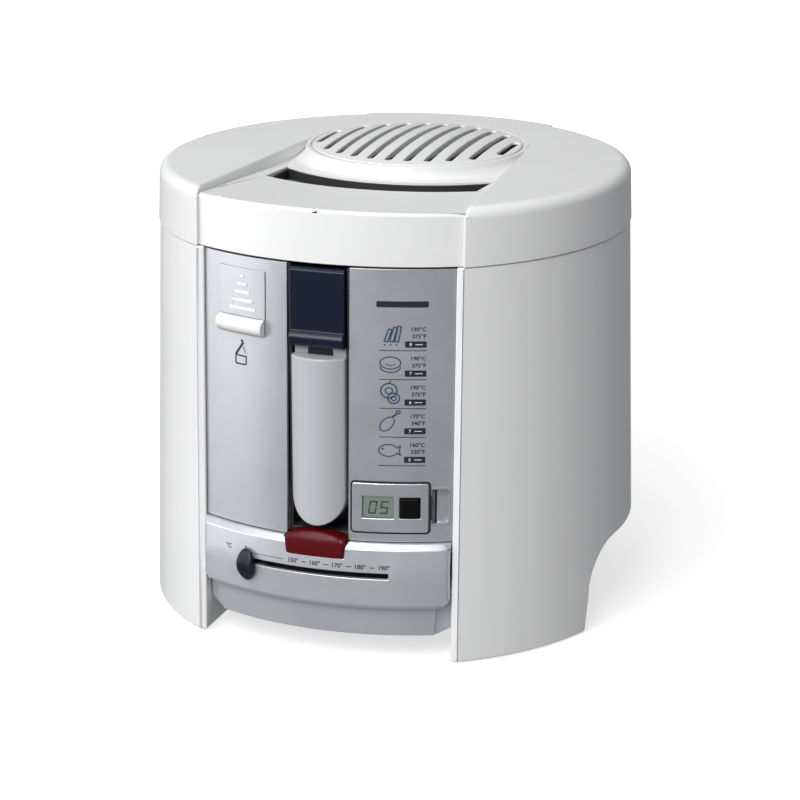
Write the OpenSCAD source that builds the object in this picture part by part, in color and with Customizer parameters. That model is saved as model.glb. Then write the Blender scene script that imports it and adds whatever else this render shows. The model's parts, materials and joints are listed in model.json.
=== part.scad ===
// Deep fryer with a folding basket handle, in its own frame: millimetres, +Z up,
// front along -Y, origin on the ground at the centre of the body.

/* [Body] */
// Radius of the body where it stands
body_r = 135; // [132:0.5:138]
// Radius of the body just under the lid
body_top_r = 129.2; // [128.5:0.1:130]
// Height of the seam between body and lid
seam_z = 214; // [212:0.5:216]
// Wall thickness of the white shell
shell_t = 3; // [2.5:0.1:3.5]
// Height of the shell's lower edge above the ground
shell_lift = 1.2; // [0.8:0.1:2]
// Outer half width of the front opening, at the ridges of the two fins
fin_x = 73.5; // [73:0.1:74]
// Width of each fin's front face
fin_t = 3.9; // [3.5:0.1:4.2]
// Height of the two hand grips cut out of the sides
grip_z = 47; // [45:0.5:48]

/* [Front panel] */
// Radius of the silver panel's curve at its foot
panel_r = 152; // [151.5:0.1:152.5]
// Height where the silver panel meets the control band
panel_z = 67.4; // [67:0.1:68]
// Half width of the dark niche for the handle
niche_x = 17.1; // [17:0.1:17.5]
// Half width of the silver panel
panel_x = 69.2; // [68.8:0.1:69.3]

/* [Control band] */
// Radius of the control band's face
band_r = 159.2; // [159:0.1:159.5]
// Height of the control band's skirt above the ground
band_z = 14.2; // [13.5:0.1:15]
// Height of the temperature slot's middle
slot_z = 49.7; // [49.5:0.1:50]
// Angle from the middle to each end of the knob's travel
slot_half_deg = 14.3; // [13.5:0.1:14.5]

/* [Lid] */
// Height of the lid's flat top
lid_z = 245; // [244.5:0.1:245.5]
// Radius of the round filter cover
cover_r = 59.5; // [59:0.1:60]
// Distance of the filter cover's middle behind the body's middle
cover_y = 38; // [37.5:0.1:38.5]

/* [Bowl and basket] */
// Inner radius of the bowl
bowl_r = 94; // [93:0.5:94.5]
// Distance of the bowl's middle behind the body's middle
bowl_y = 14; // [13.5:0.1:14.5]
// Outer radius of the basket
basket_r = 84; // [82:0.5:84.5]
// Height of the basket's wall
basket_h = 68; // [60:1:70]

/* [Handle] */
// Half width of the handle
handle_x = 14.9; // [14.5:0.1:15]
// Distance from the handle's pivot to the link pin
crank_len = 24; // [23.5:0.1:24.5]
// Length of the lifting links between their holes
link_len = 52; // [51.5:0.1:52.5]

/* [Hidden] */

big = 400;
fn_body = 180;
fn_small = 48;
draft = (body_r - body_top_r) / seam_z;
gap = 0.4;

// Body radius at a height, and the panel's radius at a height
function body_r_at(z) = body_r - draft * z;
function panel_r_at(z) = panel_r - draft * (z - panel_z);
// Depth of a circle's front side at a given x
function front_y(r, yc, x) = yc - sqrt(r * r - x * x);

panel_yc = 26;
panel_t = 2.6;
panel_top = seam_z - 0.7;
band_yc = 28;
band_t = 2.6;
band_top = panel_z - 0.5;
fin_inner = fin_x - fin_t;
cheek_back = -70;
bowl_rim_z = 209.4;
bowl_floor_z = 70;
bowl_t = 2;
deck_z = 203;
deck_t = 4;
deck_hole_r = 98.6;
deck_slot_x = 17.3;
hinge_y = 126.3;
hinge_z = 213.8;
hinge_pin_r = 1.6;
hinge_barrel_r = 4;
hinge_fixed_x = 14;
hinge_ear_x = 21;
hinge_notch_x = 33;
hinge_notch_z = 209.2;
pivot_y = -114.5;
pivot_z = 201.5;
pivot_pin_r = 2;
crank_pin_r = 1.5;
crank_z = pivot_z - crank_len;
carriage_y = -97;
link_drop = sqrt(pow(link_len, 2) - pow(carriage_y - pivot_y, 2));
link_lean = atan((carriage_y - pivot_y) / link_drop);
carriage_z = crank_z - link_drop;
link_x = 7.5;
link_t = 2;
lid_r = body_top_r + 0.6;
lid_bottom = seam_z + 0.4;
lid_round = 6;
lid_band_r = 154.2;
lid_band_yc = 31.7;
lid_t = 2.6;
lid_roof = 235;
wing_front_x = 73;
wing_rear_x = 57;
wing_rear_y = 118;
wing_front_y = -99;
pillar_x = 82;
pillar_ys = [-28, 56];
basket_z = 82;
basket_rim_z = basket_z + basket_h;
bar_z = 172;
pan_r = 97;
pan_z = 8;
floor_z = 50.5;
foot_pts = [[86, -86], [52, 106]];
timer_x0 = 19.2;
timer_x1 = 57.8;
timer_z0 = 72.8;
timer_z1 = 99.4;
timer_front = -122.6;
release_x0 = -59.4;
release_x1 = -29.9;
release_z0 = 172;
release_bar_h = 9;
release_z1 = 207;
knob_z = 47.8;
knob_r = 163.4;
lens_z0 = 58.4;
lens_z1 = 68.3;
latch_x = -44.5;
latch_y = -106;
latch_z = 192;
latch_pin_r = 1.5;

// ---------- shapes that repeat ----------

// A box given by its lowest and highest corners
module block(a, b) {
    translate(a) cube(b - a);
}

// A bar along X
module x_rod(r, half, y, z) {
    translate([-half, y, z]) rotate([0, 90, 0]) cylinder(r = r, h = 2 * half, $fn = fn_small);
}

// A wall that leans with the body's draft, turned about a vertical axis at y = yc
module leaning_wall(r, z_ref, yc, z0, z1, t) {
    r0 = r - draft * (z0 - z_ref);
    r1 = r - draft * (z1 - z_ref);
    translate([0, yc, 0]) rotate_extrude($fn = fn_body)
        polygon([[r0 - t, z0], [r0, z0], [r1, z1], [r1 - t, z1]]);
}

// A solid that leans with the body's draft
module leaning_solid(r, z_ref, yc, z0, z1) {
    translate([0, yc, z0]) cylinder(r1 = r - draft * (z0 - z_ref), r2 = r - draft * (z1 - z_ref),
        h = z1 - z0, $fn = fn_body);
}

// An outline in X and Z, pushed along Y from y0 to y1
module xz_prism(y0, y1) {
    translate([0, y1, 0]) rotate([90, 0, 0]) linear_extrude(y1 - y0) children();
}

// An outline in Y and Z, pushed along X from x0 to x1
module yz_prism(x0, x1) {
    translate([x0, 0, 0]) rotate([90, 0, 90]) linear_extrude(x1 - x0) children();
}

// Both sides: the child and its mirror image
module both_sides() {
    children();
    mirror([1, 0, 0]) children();
}

// A coil spring's outer shape: a tube with one ridge for each turn
module coil(r, wire, h, turns) {
    pitch = h / turns;
    valley = r - wire * 0.35;
    outer = [for (i = [0 : turns - 1], k = [0, 1]) [k == 0 ? valley : r, (i + k * 0.5) * pitch]];
    rotate_extrude($fn = fn_small) polygon(concat(outer, [[valley, h], [r - wire, h], [r - wire, 0]]));
}

// ---------- body ----------

// One hand grip's outline in Y and Z
module grip_outline() {
    corner_r = 27.5;
    front = -45;
    rear = 98;
    lean = 5;
    low = grip_z - corner_r;
    y0 = front + corner_r;
    y1 = rear - corner_r;
    arc_front = [for (a = [180 : -15 : 90]) [y0 + corner_r * cos(a), low + corner_r * sin(a)]];
    arc_rear = [for (a = [90 : -15 : 0]) [y1 + corner_r * cos(a), low + corner_r * sin(a)]];
    polygon(concat([[front - lean, -5]], arc_front, arc_rear, [[rear + lean, -5]]));
}

module outer_shell() {
    gland_z = 24;
    color("white") difference() {
        union() {
            difference() {
                leaning_wall(body_r, 0, 0, shell_lift, seam_z, shell_t);
                block([-fin_x, -big, -5], [fin_x, -40, big]);
            }
            both_sides() intersection() {
                block([fin_inner, -big, shell_lift], [fin_x + 1, cheek_back, seam_z]);
                leaning_solid(body_r - 0.01, 0, 0, shell_lift, seam_z);
                yz_prism(0, fin_x + 5)
                    polygon([
                        [front_y(body_r, 0, fin_x), 0],
                        [front_y(body_top_r, 0, fin_x), seam_z],
                        [0, seam_z + 5],
                        [0, -5]
                    ]);
            }
        }
        yz_prism(-big, big) grip_outline();
        block([-hinge_notch_x, 60, hinge_notch_z], [hinge_notch_x, big, big]);
        translate([0, big / 2, gland_z]) rotate([90, 0, 0])
            cylinder(r = 7, h = big / 2 - 100, $fn = fn_small);
    }
}

module panel_half(x0, x1) {
    intersection() {
        leaning_wall(panel_r, panel_z, panel_yc, panel_z, panel_top, panel_t);
        block([x0, -big, 0], [x1, 0, big]);
    }
}

module left_panel() {
    stem_x = 7;
    color("silver") difference() {
        panel_half(-panel_x, -niche_x);
        block([(release_x0 + release_x1) / 2 - stem_x, -big, release_z0 + 5],
            [(release_x0 + release_x1) / 2 + stem_x, 0, release_z0 + 30]);
    }
}

module right_panel() {
    notch_x0 = timer_x1 + 1.2;
    notch_x1 = 67.2;
    notch_z0 = 77.2;
    notch_z1 = 96.2;
    notch_deep = 3.4;
    wall = 1.5;
    color("silver") difference() {
        union() {
            panel_half(niche_x, panel_x);
            // pocket for the finger that pulls the timer out
            intersection() {
                leaning_wall(panel_r - panel_t + 0.2, panel_z, panel_yc, notch_z0 - wall, notch_z1 + wall,
                    notch_deep + wall - panel_t + 0.2);
                block([notch_x0 + wall, -big, 0], [panel_x, 0, big]);
            }
        }
        block([timer_x0 - gap, -big, timer_z0 - gap], [timer_x1 + gap, 0, timer_z1 + gap]);
        difference() {
            block([notch_x0, -big, notch_z0], [notch_x1, 0, notch_z1]);
            leaning_solid(panel_r - notch_deep, panel_z, panel_yc, notch_z0 - 1, notch_z1 + 1);
        }
    }
}

module control_profile() {
    polygon([
        [band_r - 6.8, band_top], [band_r - 3.2, band_top], [band_r - 0.9, band_top - 3],
        [band_r, slot_z], [band_r - 0.9, 33], [band_r - 2, 31], [band_r - 5.2, 29.6],
        [band_r - 5.8, 26], [band_r - 7, band_z], [band_r - 7 - band_t, band_z],
        [band_r - 7 - band_t, 28], [band_r - 3.6, 34], [band_r - 2.6, slot_z],
        [band_r - 3.6, band_top - 3.6], [band_r - 6.8, band_top - 2.6]
    ]);
}

// The control band's outline as seen from the front
module control_outline(x, drop) {
    corner = 5;
    foot_x = 61.5;
    polygon(concat(
        [[x, band_top + 10], [x, 32 + corner]],
        [for (a = [0 : -18 : -90]) [x - corner + corner * cos(a), 32 + corner + corner * sin(a)]],
        [[foot_x, 30], [foot_x - 1.5, band_z - drop], [1.5 - foot_x, band_z - drop], [-foot_x, 30]],
        [for (a = [270 : -18 : 180]) [corner - x + corner * cos(a), 32 + corner + corner * sin(a)]],
        [[-x, 32 + corner], [-x, band_top + 10]]
    ));
}

module lens_body(grow) {
    top_x = 16.9 + grow;
    foot_x = 15.2 + grow;
    lens_back = band_r - 10.1;
    hood_z = lens_z1 - 1.8;
    crest = 3.4;
    arch_r = (top_x * top_x + crest * crest) / (2 * crest);
    intersection() {
        // the rear part is a hood over the lamp
        translate([0, band_yc, 0]) rotate_extrude($fn = fn_body)
            polygon([
                [lens_back - grow, lens_z1 + 6], [band_r - 3.4 + grow, lens_z1 + 6],
                [band_r + 0.9 + grow, lens_z1 - 2], [band_r + 0.9 + grow, lens_z0 - grow],
                [band_r - 6.4 - grow, lens_z0 - grow], [band_r - 6.4 - grow, hood_z],
                [lens_back - grow, hood_z]
            ]);
        xz_prism(-big, 0) union() {
            polygon([
                [-top_x, lens_z1], [-foot_x, lens_z0 - 5], [foot_x, lens_z0 - 5], [top_x, lens_z1]
            ]);
            intersection() {
                translate([0, lens_z1 + crest - arch_r]) circle(r = arch_r, $fn = fn_body);
                translate([-top_x, lens_z1 - 1]) square([2 * top_x, 10]);
            }
        }
    }
}

module control_band() {
    slot_h = 1.6;
    slot_cut = 1.1;
    slot_end = slot_half_deg + 1.2;
    color("silver") difference() {
        union() {
            intersection() {
                translate([0, band_yc, 0]) rotate_extrude($fn = fn_body) control_profile();
                xz_prism(-big, -60) control_outline(panel_x, 1);
            }
            // set-back ends of the skirt, out to the fins
            both_sides() intersection() {
                translate([0, band_yc, 0]) rotate_extrude($fn = fn_body) polygon([
                    [band_r - 7.8, 44], [band_r - 8.9, band_z], [band_r - 11, band_z], [band_r - 9.9, 44]
                ]);
                xz_prism(-big, -60) polygon([
                    [59.4, 44], [59.4, band_z - 1], [61, band_z], [panel_x, 18.5], [panel_x, 44]
                ]);
            }
        }
        // temperature slot, about the same axis as the band's curve
        translate([0, band_yc, slot_z - slot_h]) rotate([0, 0, -90 - slot_end])
            rotate_extrude(angle = 2 * slot_end - slot_cut, $fn = fn_body)
                translate([band_r - 6, 0]) square([20, 2 * slot_h]);
        lens_body(0.15);
    }
}

module indicator_lens() {
    color("darkred") lens_body(0);
}

module indicator_lamp() {
    color("orange") translate([0, -118.5, 60]) rotate([-90, 0, 0]) {
        cylinder(r = 3, h = 14, $fn = fn_small);
        translate([0, 0, 14]) cylinder(r = 4.2, h = 5, $fn = fn_small);
    }
}

// The dark channel behind the handle
module niche_liner() {
    wall = 1.4;
    outer_x = niche_x - 0.3;
    front = -120.2;
    back = -102.4;
    low = panel_z + 1.2;
    color([0.12, 0.12, 0.14]) difference() {
        block([-outer_x, front, low], [outer_x, back + wall, panel_top - 0.6]);
        block([-outer_x + wall, -big, low + wall], [outer_x - wall, back, big]);
        // window for the links, open above for the handle's head
        block([-11.8, -big, 116], [11.8, 0, big]);
        block([-outer_x + wall, -big, 186], [outer_x - wall, 0, big]);
        x_rod(pivot_pin_r + 0.02, 30, pivot_y, pivot_z);
    }
}

module handle_pin() {
    color("silver") x_rod(pivot_pin_r, niche_x - 0.5, pivot_y, pivot_z);
}

module base_plate() {
    pan_t = 2.5;
    column_r = 9;
    color("dimgray") difference() {
        union() {
            // raised floor above the hand grips
            difference() {
                translate([0, 0, floor_z])
                    cylinder(r = body_r_at(floor_z) - shell_t - gap, h = pan_t, $fn = fn_body);
                block([-fin_x - 1.5, -big, 0], [fin_x + 1.5, -98, big]);
                both_sides() block([fin_inner - 0.6, -big, 0], [fin_x + 1.6, cheek_back + 0.6, big]);
            }
            translate([0, 0, pan_z]) cylinder(r = pan_r, h = floor_z - pan_z + 1, $fn = fn_body);
            // tray under the control band
            intersection() {
                block([-58, -big, band_z + 1], [58, -60, band_z + 3.5]);
                translate([0, band_yc, 0]) cylinder(r = band_r - 7 - band_t - 0.3, h = 100, $fn = fn_body);
            }
            both_sides() for (p = foot_pts)
                translate([p[0], p[1], 3.4]) cylinder(r = column_r, h = floor_z - 3, $fn = fn_small);
        }
        difference() {
            translate([0, 0, pan_z + pan_t]) cylinder(r = pan_r - pan_t, h = 100, $fn = fn_body);
            block([-68, -big, 0], [68, -72, band_z + 3.5]);
        }
        // opening between the tray and the pan
        block([-50, -110, band_z + 3.5], [50, -70, floor_z + 5]);
        both_sides() for (p = foot_pts) translate([p[0], p[1], -1]) {
            cylinder(r = 2, h = 30, $fn = fn_small);
            cylinder(r = 4.2, h = 10, $fn = fn_small);
        }
    }
}

module feet() {
    color([0.2, 0.2, 0.2]) both_sides() for (p = foot_pts) translate([p[0], p[1], 0]) difference() {
        cylinder(r = 8.4, h = 3.3, $fn = fn_small);
        translate([0, 0, -1]) cylinder(r = 4.2, h = 10, $fn = fn_small);
    }
}

module base_screws() {
    head_z = 4.4;
    color("silver") both_sides() for (p = foot_pts) translate([p[0], p[1], head_z]) difference() {
        union() {
            cylinder(r = 3.6, h = 3, $fn = fn_small);
            cylinder(r = 1.85, h = 22, $fn = fn_small);
        }
        translate([0, 0, -1]) cylinder(r = 1.6, h = 2.4, $fn = 6);
    }
}

// Ring under the lid that carries the bowl, the hinge and the latch
module top_deck() {
    color("white") difference() {
        translate([0, 0, deck_z])
            cylinder(r = body_r_at(deck_z) - shell_t - gap, h = deck_t, $fn = fn_body);
        translate([0, bowl_y, 0]) cylinder(r = deck_hole_r, h = big, $fn = fn_body);
        // room for the handle's head and the lifting bar
        block([-deck_slot_x, -big, 0], [deck_slot_x, -60, big]);
        // clear of the fins and behind the panel
        both_sides() block([fin_inner - 0.6, -big, 0], [fin_x + 1.6, cheek_back + 0.6, big]);
        difference() {
            block([-fin_x, -big, 0], [fin_x, -60, big]);
            leaning_solid(panel_r - panel_t - 0.4, panel_z, panel_yc, deck_z - 1, deck_z + deck_t + 1);
        }
        block([-60, -big, 0], [60, -108.4, big]);
        block([latch_x - 7, -big, 0], [latch_x + 7, -96, big]);
    }
}

module heat_shield() {
    r = 105.6;
    t = 1;
    low = 55;
    color("silver") difference() {
        translate([0, bowl_y, low]) difference() {
            cylinder(r = r, h = deck_z - low - gap, $fn = fn_body);
            translate([0, 0, t]) cylinder(r = r - t, h = big, $fn = fn_body);
            translate([0, 0, -1]) cylinder(r = 40, h = 10, $fn = fn_body);
        }
        block([-19, -big, 70], [19, -60, big]);
    }
}

module heater_plate() {
    color("lightgray") translate([0, bowl_y, 66]) difference() {
        cylinder(r = 86, h = 3.7, $fn = fn_body);
        translate([0, 0, -1]) cylinder(r = 9, h = 10, $fn = fn_small);
    }
}

module heating_element() {
    color([0.35, 0.3, 0.3]) translate([0, bowl_y, 61]) {
        rotate([0, 0, -75]) rotate_extrude(angle = 330, $fn = fn_body)
            translate([66, 0]) circle(r = 4.2, $fn = fn_small);
        for (a = [-75, 255]) rotate([0, 0, a]) translate([66, 0, 0])
            rotate([a < 0 ? 90 : -90, 0, 0]) translate([0, 0, -2]) cylinder(r = 2, h = 11, $fn = fn_small);
    }
}

module thermostat() {
    color("ivory") translate([-25, -20, 56.4]) {
        cylinder(r = 11, h = 8, $fn = fn_small);
        translate([0, 0, 8]) cylinder(r = 7, h = 1.4, $fn = fn_small);
    }
}

module thermal_fuse() {
    color("silver") translate([20, 40, 62]) rotate([0, 90, 0]) {
        cylinder(r = 2.6, h = 16, $fn = fn_small);
        translate([0, 0, -5]) cylinder(r = 0.8, h = 26, $fn = fn_small);
    }
}

module terminal_block() {
    ways = 3;
    pitch = 11;
    color("white") translate([-ways * pitch / 2, 60, pan_z + 2.5]) difference() {
        cube([ways * pitch, 22, 15]);
        for (i = [0 : ways - 1]) {
            translate([(i + 0.5) * pitch, 5.5, 4]) cylinder(r = 3, h = 20, $fn = fn_small);
            translate([(i + 0.5) * pitch, 16.5, 4]) cylinder(r = 3, h = 20, $fn = fn_small);
            translate([(i + 0.5) * pitch, -1, 7]) rotate([-90, 0, 0])
                cylinder(r = 2, h = 30, $fn = fn_small);
        }
    }
}

// Bushing for the mains lead at the foot of the back
module cord_gland() {
    z = 24;
    hole_r = 3.8;
    face = body_r_at(z) - 0.4;
    color([0.3, 0.3, 0.3]) translate([0, face, z]) rotate([90, 0, 0]) difference() {
        union() {
            cylinder(r = 6.8, h = 9, $fn = fn_small);
            translate([0, 0, 3.6]) cylinder(r = 9, h = 3, $fn = fn_small);
        }
        translate([0, 0, -5]) cylinder(r = hole_r, h = 30, $fn = fn_small);
    }
}

module rating_plate() {
    color("silver") translate([-26, -40, pan_z - 0.5]) cube([52, 34, 0.5]);
}

module timer_tray() {
    wall = 1.4;
    back = -104.4;
    x0 = timer_x0 - gap - wall;
    x1 = timer_x1 + gap + wall;
    color("gray") difference() {
        block([x0, -117.6, timer_z0 - gap - wall], [x1, back, timer_z1 + gap + wall]);
        block([timer_x0 - gap, -big, timer_z0 - gap], [timer_x1 + gap, back - wall, timer_z1 + gap]);
        // follows the inside of the panel
        difference() {
            block([-big, -big, 0], [big, 0, big]);
            leaning_solid(panel_r - panel_t - 0.2, panel_z, panel_yc, 10, 210);
        }
        // leaves the finger notch free
        block([timer_x1 + gap + wall, -big, 0], [big, 0, big]);
    }
}

// Points of the quarter arc from the bottom of a circle to its right
function quarter(x, z, r) = [for (a = [-90 : 15 : 0]) [x + r * cos(a), z + r * sin(a)]];

module bowl() {
    rim_out = 101;
    flange_t = 2.2;
    r = bowl_r + bowl_t;
    corner = 10;
    color([0.25, 0.25, 0.27]) difference() {
        translate([0, bowl_y, 0]) rotate_extrude($fn = fn_body) difference() {
            polygon(concat(
                [[0, bowl_floor_z]],
                quarter(r - corner, bowl_floor_z + corner, corner),
                [[r, bowl_rim_z - flange_t], [rim_out, bowl_rim_z - flange_t]],
                [[rim_out, bowl_rim_z], [0, bowl_rim_z]]
            ));
            polygon(concat(
                [[0, bowl_floor_z + bowl_t]],
                quarter(r - corner, bowl_floor_z + corner, corner - bowl_t),
                [[bowl_r, bowl_rim_z + 5], [0, bowl_rim_z + 5]]
            ));
        }
        // notch in the rim for the lifting bar
        block([-13, -big, 168], [13, -60, big]);
    }
}

module carriage_guide() {
    color("gray") {
        both_sides() block([12.5, -100.8, 72], [14.5, -92.8, 202.6]);
        block([-14.5, -100.8, 72], [14.5, -92.8, 75]);
    }
}

module hinge_bracket() {
    spring_x = 7;
    foot_y = 115.2;
    foot_t = 2.4;
    low = deck_z + deck_t;
    barrel_y = hinge_y - hinge_barrel_r;
    color("gray") difference() {
        union() {
            x_rod(hinge_barrel_r, hinge_fixed_x, hinge_y, hinge_z);
            block([-hinge_fixed_x, foot_y, low], [hinge_fixed_x, hinge_y - 1, low + foot_t]);
            block([-hinge_fixed_x, barrel_y, low], [hinge_fixed_x, hinge_y - 1, hinge_z]);
        }
        x_rod(hinge_pin_r + 0.01, big, hinge_y, hinge_z);
        block([-spring_x, barrel_y - 1, low + 2], [spring_x, big, big]);
        for (x = [-10, 10]) translate([x, foot_y + 3, 200]) cylinder(r = 1.2, h = 20, $fn = fn_small);
    }
}

module hinge_pin() {
    color("silver") x_rod(hinge_pin_r, hinge_ear_x - 0.4, hinge_y, hinge_z);
}

module hinge_spring() {
    color("dimgray") translate([-6.6, hinge_y, hinge_z]) rotate([0, 90, 0]) coil(3.4, 1.2, 13.2, 9);
}

// ---------- temperature control ----------

// Places its children at an angle along the slot, pointing outwards along +X
module at_slot(a, z) {
    translate([0, band_yc, z]) rotate([0, 0, a - 90]) children();
}

module temperature_knob() {
    half_w = 5.1;
    half_h = 8.9;
    crown_r = 16;
    base = band_r + 0.45;
    color([0.1, 0.13, 0.25]) at_slot(-slot_half_deg, knob_z) difference() {
        intersection() {
            translate([base, 0, 0]) rotate([0, 90, 0]) scale([half_h / half_w, 1, 1])
                cylinder(r = half_w, h = knob_r - base, $fn = fn_small);
            translate([knob_r - crown_r, 0, 0]) rotate([90, 0, 0])
                cylinder(r = crown_r, h = 30, center = true, $fn = fn_body);
        }
        translate([base - 1, -1.1, slot_z - knob_z - 1.1]) cube([3, 2.2, 2.2]);
    }
}

// Dark track behind the slot
module slider_track() {
    half_deg = slot_half_deg + 6;
    color([0.1, 0.1, 0.1]) translate([0, band_yc, 41]) rotate([0, 0, -90 - half_deg])
        rotate_extrude(angle = 2 * half_deg, $fn = fn_body)
            translate([band_r - 13.4, 0]) square([1.4, 15.4]);
}

module slider_carriage() {
    color("dimgray") at_slot(-slot_half_deg, slot_z) {
        translate([band_r - 11.5, -8, -6]) cube([6, 16, 12]);
        translate([band_r - 6, -1, -1]) cube([8.2, 2, 2]);
    }
}

// ---------- lid release ----------

module release_slider() {
    plate_t = 1;
    clear = 0.3;
    stem_x = 5.5;
    mid = (release_x0 + release_x1) / 2;
    color("gainsboro") intersection() {
        leaning_wall(panel_r + clear + plate_t, panel_z, panel_yc, release_z0, release_z1, plate_t);
        block([release_x0, -big, release_z0 + release_bar_h], [release_x1, 0, release_z1]);
    }
    color("gainsboro")
        block([mid - stem_x, -117.2, release_z0 + 11], [mid + stem_x, -111.4, release_z0 + 19]);
}

// Rounded push bar along the slider's foot
module release_bar() {
    clear = 0.35;
    r = release_bar_h / 2;
    bar_r = panel_r_at(release_z0) + clear + 1;
    half_deg = asin((release_x1 - release_x0) / 2 / bar_r);
    mid_deg = asin((release_x0 + release_x1) / 2 / bar_r);
    color("white") translate([0, panel_yc, release_z0 + r]) rotate([0, 0, -90 + mid_deg - half_deg])
        rotate_extrude(angle = 2 * half_deg, $fn = fn_body) translate([bar_r - 1, 0]) intersection() {
            union() {
                circle(r = r, $fn = fn_small);
                translate([-0.1, -r]) square([0.8, 2 * r - 0.05]);
            }
            translate([0, -r]) square([r, 2 * r]);
        }
}

module release_spring() {
    mid = (release_x0 + release_x1) / 2;
    color("silver") translate([mid, -109.2, release_z0 - 4.6]) coil(2.2, 0.8, 15, 8);
}

module latch_hook() {
    half = 3;
    top = 219.4;
    color("dimgray") difference() {
        union() {
            translate([latch_x, 0, 0]) x_rod(4.5, half, latch_y, latch_z);
            block([latch_x - half, latch_y - 2, latch_z], [latch_x + half, latch_y + 1.6, top]);
            block([latch_x - half, latch_y - 4.4, top - 2.6], [latch_x + half, latch_y + 1.6, top]);
        }
        translate([latch_x, 0, 0]) x_rod(latch_pin_r + 0.05, 30, latch_y, latch_z);
    }
}

module latch_pin() {
    color("silver") translate([latch_x, 0, 0]) x_rod(latch_pin_r, 6, latch_y, latch_z);
}

// ---------- lid ----------

// Half width of the lid's middle band at a depth
function wing_x(y) =
    wing_front_x + (wing_rear_x - wing_front_x) * (y - wing_front_y) / (wing_rear_y - wing_front_y);

// Plan of the lid's middle band, made wider or narrower by grow
module band_plan(grow) {
    y0 = -140;
    y1 = 140;
    polygon([
        [-wing_x(y0) - grow, y0], [wing_x(y0) + grow, y0],
        [wing_x(y1) + grow, y1], [-wing_x(y1) - grow, y1]
    ]);
}

// Crescent of the window, between two arcs
module window_plan(grow) {
    side_x = 59.6;
    intersection() {
        translate([0, 46.5]) circle(r = 106.5 + grow, $fn = fn_body);
        difference() {
            translate([-side_x - grow, -80]) square([2 * (side_x + grow), 85]);
            translate([0, 62.4]) circle(r = 93.4 - grow, $fn = fn_body);
        }
    }
}

// Outer skin of the lid before the band is sunk into it
module lid_blank() {
    edge = lid_r - draft * (lid_z - lid_bottom);
    difference() {
        union() {
            rotate_extrude($fn = fn_body) polygon(concat(
                [[0, lid_bottom], [lid_r, lid_bottom]],
                [for (a = [0 : 15 : 90])
                    [edge - lid_round + lid_round * cos(a), lid_z - lid_round + lid_round * sin(a)]],
                [[0, lid_z]]
            ));
            // squared rear end of the band, over the hinge
            intersection() {
                leaning_solid(lid_r, lid_bottom, 0, lid_bottom, lid_z);
                block([-56, 60, lid_bottom], [56, 140, lid_z]);
            }
        }
        // front of the band, set back from the two wings
        difference() {
            block([-wing_front_x, -big, 0], [wing_front_x, -60, big]);
            leaning_solid(lid_band_r, lid_bottom, lid_band_yc, lid_bottom - 1, lid_z + 1);
        }
    }
}

// Space above the band, sunken in front of the ring only
module band_cut() {
    front_z = 242.6;
    low_z = 238;
    intersection() {
        translate([0, 0, 200]) linear_extrude(100) band_plan(0);
        yz_prism(-100, 100) polygon([
            [-150, front_z + 1.1], [-122, front_z], [-10, low_z], [cover_y, low_z],
            [cover_y, lid_z + 20], [-150, lid_z + 20]
        ]);
    }
}

// Raised ring around the filter cover, with a hollow fillet at its foot
module cover_ring() {
    ring_r = cover_r + 3;
    fillet = 7;
    mid_r = ring_r + fillet;
    low = 238;
    top = 245.4;
    translate([0, cover_y, 0]) rotate_extrude($fn = fn_body) difference() {
        polygon(concat(
            [[0, low - 1], [mid_r, low - 1], [mid_r, low]],
            [for (a = [270 : -15 : 180]) [mid_r + fillet * cos(a), low + fillet + fillet * sin(a)]],
            [[ring_r, top - 0.4], [ring_r - 0.5, top], [0, top]]
        ));
    }
}

// Inside of the lid
module lid_cavity() {
    inner = lid_r - lid_t;
    wing_roof = lid_z - lid_t;
    intersection() {
        union() {
            cylinder(r = inner - 0.6, h = lid_roof, $fn = fn_body);
            difference() {
                cylinder(r = inner - lid_round + 1, h = wing_roof, $fn = fn_body);
                intersection() {
                    linear_extrude(big) band_plan(lid_t);
                    block([-big, -big, 0], [big, cover_y + lid_t, big]);
                }
                translate([0, 118, 0]) cube([140, 30, 600], center = true);
            }
        }
        difference() {
            translate([0, 0, lid_bottom - 1]) cylinder(r = 200, h = 50);
            // keeps the front wall of the band
            difference() {
                block([-wing_front_x - lid_t, -big, 0], [wing_front_x + lid_t, -60, big]);
                leaning_solid(lid_band_r - lid_t, lid_bottom, lid_band_yc, lid_bottom - 2, lid_z + 1);
            }
        }
    }
}

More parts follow.
